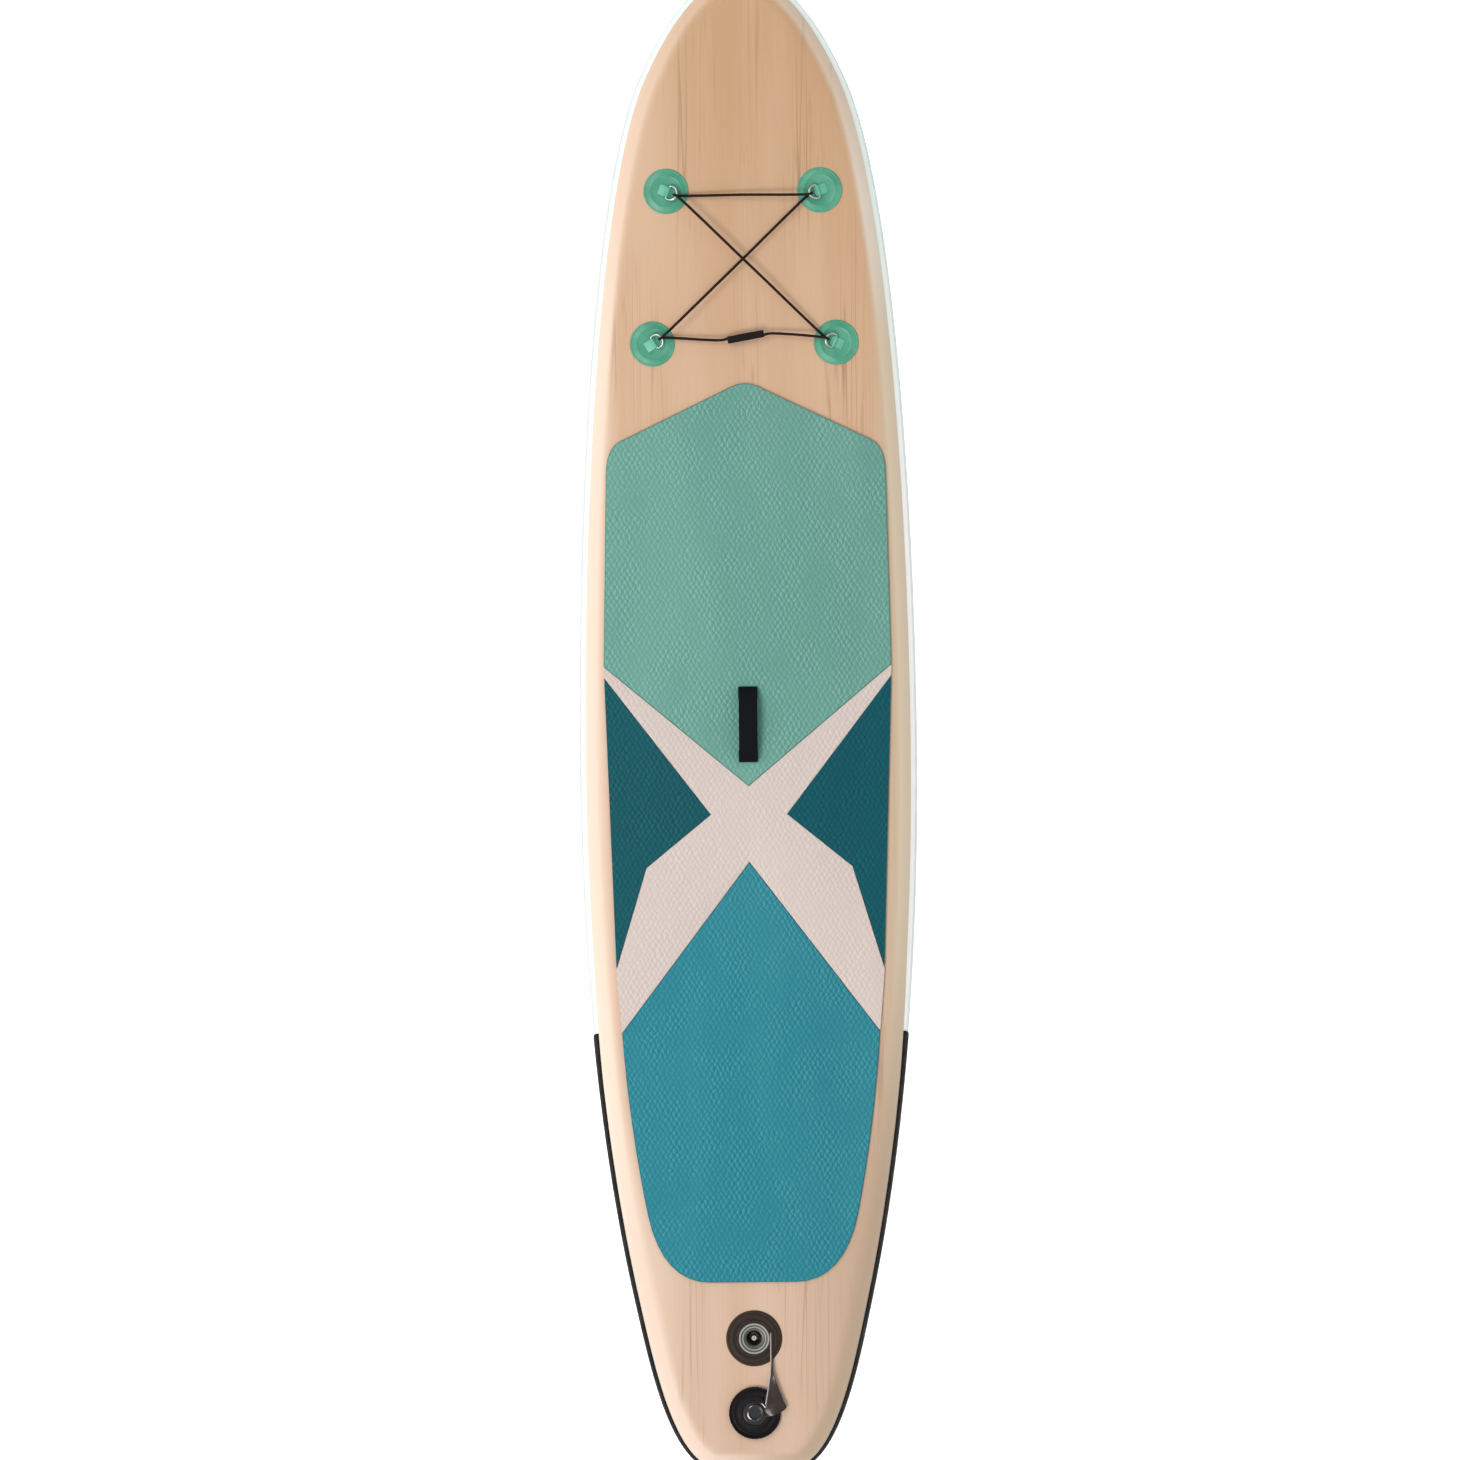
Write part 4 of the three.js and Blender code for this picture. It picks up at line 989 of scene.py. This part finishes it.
def joiner_piece():
    """A crimped sleeve that holds both ends of the cord."""
    bm = bmesh.new()
    rows = []
    steps, sides = 60, 40
    section = [(squared(cos(a), 0.5), squared(sin(a), 0.5)) for a in turns(sides)]
    for i in range(steps + 1):
        x = -JOINER_HALF + 2 * JOINER_HALF * i / steps
        tuck = 0.0007 * max(0.0, 1 - min(i, steps - i) / 3) ** 2
        dip = max(0.0, *(1 - abs(x - crimp) / 0.006 for crimp in (-0.024, 0.024)))
        wide, high = 0.0082 - tuck - 0.0004 * dip, 0.0043 - tuck
        rows.append([Vector((x, wide * y, high * z)) for y, z in section])
    outer = grid(bm, rows, ring=True)
    for end, inward in ((0, 0.004), (-1, -0.004)):
        lip = [bm.verts.new((p.x, p.y * 0.9, p.z * 0.86)) for p in rows[end]]
        deep = [bm.verts.new((v.co.x + inward, v.co.y, v.co.z)) for v in lip]
        for k in range(sides):
            j = (k + 1) % sides
            bm.faces.new([outer[end][k], outer[end][j], lip[j], lip[k]])
            bm.faces.new([lip[k], lip[j], deep[j], deep[k]])
    bm.transform(JOINER_PLACE)
    black = moulded_look("joiner_plastic", seen(20, 14, 15), 0.55, seen(40, 32, 32), specular=0.15)
    stand_in("bungee_joiner", bm, black, "board", slot="joiner_plastic")


# --- Valve ---

VALVE_PLACE = Matrix.Translation((0, VALVE_Y, DECK))
CAP_PLACE = Matrix.Translation((0, CAP_Y, DECK + 0.0138)) @ Matrix.Rotation(pi, 4, "X")


def tether_ribbon():
    """Two edges of the strap: flat under the closed cap's rim, then on edge, then over the cap."""
    inner = [(36.6, 16, 4.6), (36.8, -30, 5.4), (36.6, -52, 6.2), (36, -72, 8.5), (32, -100, 11.4)]
    inner += [(27, -130, 12.2), (23, -152, 11.2), (20.5, -162, 7.6), (20.5, -166, 4.6)]
    outer = [(41.6, 16, 5.0), (42, -30, 5.5), (42, -46, 6.4), (42, -72, 12.4), (51, -104, 13)]
    outer += [(64, -138, 12.2), (70, -154, 12), (40, -172, 11.5), (22, -176, 4.6)]
    place = VALVE_PLACE @ Matrix.Scale(MM, 4)
    return [[place @ Vector(p) for p in edge] for edge in (inner, outer)]


def band(inner, outer, low, high):
    """A profile with four corners."""
    return [(inner, low), (outer, low), (outer, high), (inner, high)]


def tether_piece(material, highlight_bead_material):
    """The soft strap between the collar round the valve and the loop round the cap's plug."""
    bm = bmesh.new()
    a, b = (catmull(edge, 140) for edge in tether_ribbon())
    section = [(0.5 + 0.5 * squared(cos(t), 0.35), 0.0007 * squared(sin(t), 0.6)) for t in turns(24)]
    rows = []
    for i, (p, q) in enumerate(zip(a, b)):
        before, after = max(i - 1, 0), min(i + 1, len(a) - 1)
        along = ((a[after] - a[before]) + (b[after] - b[before])).normalized()
        thin = along.cross(q - p).normalized()
        rows.append([p.lerp(q, across) + thin * rise for across, rise in section])
    cap_ends(bm, grid(bm, rows, ring=True))
    flap = len(bm.faces)
    # A bead along the strap's inner edge, whose pale colour is a painted highlight.
    rod(bm, even(a, 120)[3:-14], 0.0014, 12)
    for face in list(bm.faces)[flap:]:
        face.material_index = 1
    for profile, y in ((band(35, 40, 3.1, 4.6), 0), (band(19.3, 23.5, 3.9, 5.2), CAP_Y - VALVE_Y)):
        place = VALVE_PLACE @ Matrix.Translation((0, y, 0))
        grid(bm, [[place @ p for p in row] for row in turned_rows(profile, 72)], wrap=True, ring=True)
    piece = stand_in("valve_tether", bm, material, angle=50, slot="valve_rubber", second=highlight_bead_material)
    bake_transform(piece)


FLANGE_PROFILE = [
    (36, 0.3), (62.5, 0.3), (62.5, 1.5), (61.6, 2.2), (60.2, 2.6), (57.5, 2.7), (56.6, 2.0), (55.6, 2.0),
    (54.8, 2.8), (53, 2.9), (52, 3.9), (46, 4.0), (45, 2.9), (43.6, 2.9), (42.8, 2.1), (41.8, 2.9), (36, 2.9),
]
BODY_PROFILE = [
    (13.5, -34), (24, -34), (24, 2.9), (34.5, 2.9), (34.5, 8), (33.5, 9), (31, 9), (30.2, 8.2), (29.4, 6.8),
    (27.6, 6.4), (27.2, 5.8), (26.6, 6.3), (24.6, 5.9), (24.2, 5.3), (23.6, 5.8), (21.2, 5.2), (20.5, 4.4),
    (20.5, -3), (17.2, -3), (17.2, -30), (13.5, -30),
]
STEM_PROFILE = [
    (0, -39), (15.6, -39), (16.3, -38.2), (16.3, -36.6), (2, -36.6), (2, -8), (5, -8), (5.5, -7.4),
    (5.5, -5), (4.9, -4.3), (4.2, -4), (2.4, -4.05), (1.6, -4.5), (0, -4.7),
]


def make_valve():
    rubber = moulded_look("flange_rubber", seen(48, 35, 27), 0.5, seen(82, 62, 50), specular=0.2)
    # Painted highlight on the body's top rim and raised ring, and painted shade on the steps and grooves
    # between them and down the bore.
    groove_shade, rim_highlight = seen(46, 46, 41), seen(172, 173, 162)
    bands = [(32.2, 2.2, rim_highlight), (28.6, 1.6, groove_shade), (25.6, 1.4, rim_highlight), (22.4, 2.0, groove_shade)]
    grey = turned_look("valve_grey_plastic", seen(124, 125, 116), [*bands, (15.5, 5.5, seen(26, 26, 24))])
    inside = moulded_look("spider_plastic", seen(40, 40, 37), 0.5, seen(60, 60, 56))
    dark = moulded_look("seal_rubber", seen(26, 26, 26), 0.7, seen(44, 44, 44), specular=0.15)
    poppet = moulded_look("poppet_rubber", seen(58, 24, 18), 0.75, seen(76, 36, 28), specular=0.1)
    stem = turned_look("stem_plastic", seen(196, 196, 186), [(0.0, 3.4, seen(20, 20, 20))])
    lathe("valve_flange", FLANGE_PROFILE, rubber, "board", VALVE_PLACE, slot="valve_rubber")
    lathe("valve_body", BODY_PROFILE, grey, "board", VALVE_PLACE, slot="valve_grey")
    spider_piece(inside)
    refine("valve_gasket", dark, "board", 0.2, slot="seal_rubber")
    refine("valve_backing_nut", inside, "board", 0.4, slot="valve_grey")
    lathe("valve_stem", STEM_PROFILE, stem, "valve_stem", VALVE_PLACE, 64, closed=False, slot="stem_plastic")
    seal = band(10.5, 16.2, -36.3, -34.4)
    lathe("valve_seal", seal, poppet, "valve_stem", VALVE_PLACE, slot="poppet_seal")
    spring_piece()
    strap = moulded_look("tether_rubber", seen(44, 33, 29), 0.3, seen(70, 55, 50), coat=0.2)
    # The bead's pale colour is a painted highlight along the strap's edge.
    tether_piece(strap, moulded_look("tether_bead_painted_highlight", seen(176, 170, 164), 0.3, seen(214, 210, 204), coat=0.4))
    cap_piece()
    seal = band(28.5, 34, 9.35, 10)
    lathe("valve_cap_seal", seal, dark, "valve_cap", CAP_PLACE, bevel=0.15, slot="seal_rubber")


def spider_piece(material):
    """The cross in the valve's bore that guides its stem."""
    bm = bmesh.new()
    for turn in (0, 90):
        made = bmesh.ops.create_cube(bm, size=1.0)
        shape = Matrix.Rotation(radians(turn), 4, "Z") @ Matrix.Diagonal((0.0346, 0.004, 0.0024, 1))
        bmesh.ops.transform(bm, matrix=shape, verts=made["verts"])
    round_edges(bm, 0.4 * MM)
    grid(bm, turned_rows(band(2.6, 5.5, -1.2, 1.3), 32), wrap=True, ring=True)
    bm.transform(VALVE_PLACE @ Matrix.Translation((0, 0, -0.024)))
    finish_mesh("valve_spider_look", bm, material, "board", slot="valve_grey")


def spring_piece():
    coils, steps, low, high = 4, 24, -21.6, -9.2
    line = [polar(4.3, 2 * pi * i / steps, z) for i, z in enumerate(stepped(low, high, coils * steps))]
    bm = bmesh.new()
    rod(bm, [VALVE_PLACE @ (p * MM) for p in line], 0.0008, 10)
    steel = metal_look("spring_steel", (0.62, 0.64, 0.66), 0.25)
    piece = stand_in("valve_spring", bm, steel, angle=60, slot="spring_steel")
    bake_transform(piece)


CAP_PROFILE = [
    (0, 10.3), (13.0, 10.3), (13.8, 9.5), (13.8, 1.4), (14.1, 0.8), (14.7, 0.45), (15.1, 0.5), (18.2, 1.35),
    (18.6, 1.6), (19, 2.2), (19, 9.6), (19.7, 10.3), (26.5, 10.3), (26.9, 10.0), (35.6, 10.0), (36, 10.3),
    (46, 10.3), (46.6, 9.8), (47.4, 9.8), (48, 10.3), (53.6, 10.3), (54.5, 9.5), (54.5, 4.5), (55.1, 3.9),
    (57.4, 3.9), (58, 4.5), (58, 11.5), (57.3, 12.8), (56, 13.5), (0, 13.5),
]
NOTCH_FROM, NOTCH_TO, NOTCH_FLOOR = -26.0, 9.0, 9.6  # degrees round the cap, and height in millimetres
PLUG_RADIUS, PLUG_FLOOR = 0.026, 0.011  # the glossy part lies inside these


def cap_piece():
    """The cap, which lies open: a ribbed rim with a notch for the tether, and a hollow plug."""
    black = moulded_look("cap_black_plastic", seen(18, 15, 17), 0.5, seen(34, 28, 30), specular=0.12)
    gloss = moulded_look("cap_plug_plastic", seen(14, 16, 28), 0.16, seen(22, 24, 40), coat=1.0, specular=0.8)
    bm = bmesh.new()
    rows = []
    for k, angle in enumerate(turns(160)):
        notch = NOTCH_FROM <= (360 * k / 160 + 180) % 360 - 180 <= NOTCH_TO
        row = []
        for r, z in CAP_PROFILE:
            grip = 0.35 if r >= 57.9 and k % 4 < 2 else 0.0
            row.append(polar(r - grip, angle, max(z, NOTCH_FLOOR) if notch and r > 54 else z) * MM)
        rows.append(row)
    grid(bm, rows, wrap=True)
    for face in bm.faces:
        middle = face.calc_center_median()
        face.material_index = 1 if hypot(middle.x, middle.y) < PLUG_RADIUS and middle.z < PLUG_FLOOR else 0
    bm.transform(CAP_PLACE)
    stand_in("valve_cap", bm, black, "valve_cap", angle=40, slot="cap_plastic", second=gloss)


# --- Fins ---


def make_fins():
    nylon = moulded_look("fin_nylon", seen(34, 36, 39), 0.42, seen(62, 65, 68))
    pvc = moulded_look("side_fin_pvc", seen(34, 36, 39), 0.5, seen(60, 63, 66))
    box = moulded_look("fin_box_plastic", seen(28, 29, 31), 0.5, seen(56, 58, 60))
    lever = moulded_look("lever_plastic", seen(46, 143, 155), 0.38, seen(92, 176, 184))
    steel = metal_look("pin_steel", (0.7, 0.71, 0.72), 0.22)
    refine("fin_box", box, "board", 0.5, 2, "fin_box_plastic")
    refine("fin_lock_lever", lever, "fin_lock_lever", 0.5, 2, "lever_plastic", 50)
    refine("fin_lever_pin", steel, "centre_fin", 0.2, 2, "ring_steel", 50)
    swell("centre_fin", nylon, "centre_fin", "fin_nylon")
    for side in ("left", "right"):
        swell(f"{side}_side_fin", pvc, "board", "side_fin_pvc")


# --- Scene ---

make_camera()
make_stage()
make_hull()
make_pad()
make_handle()
make_anchors()
bungee_length = make_bungee()
make_valve()
make_fins()

print("bungee length", round(bungee_length, 4))
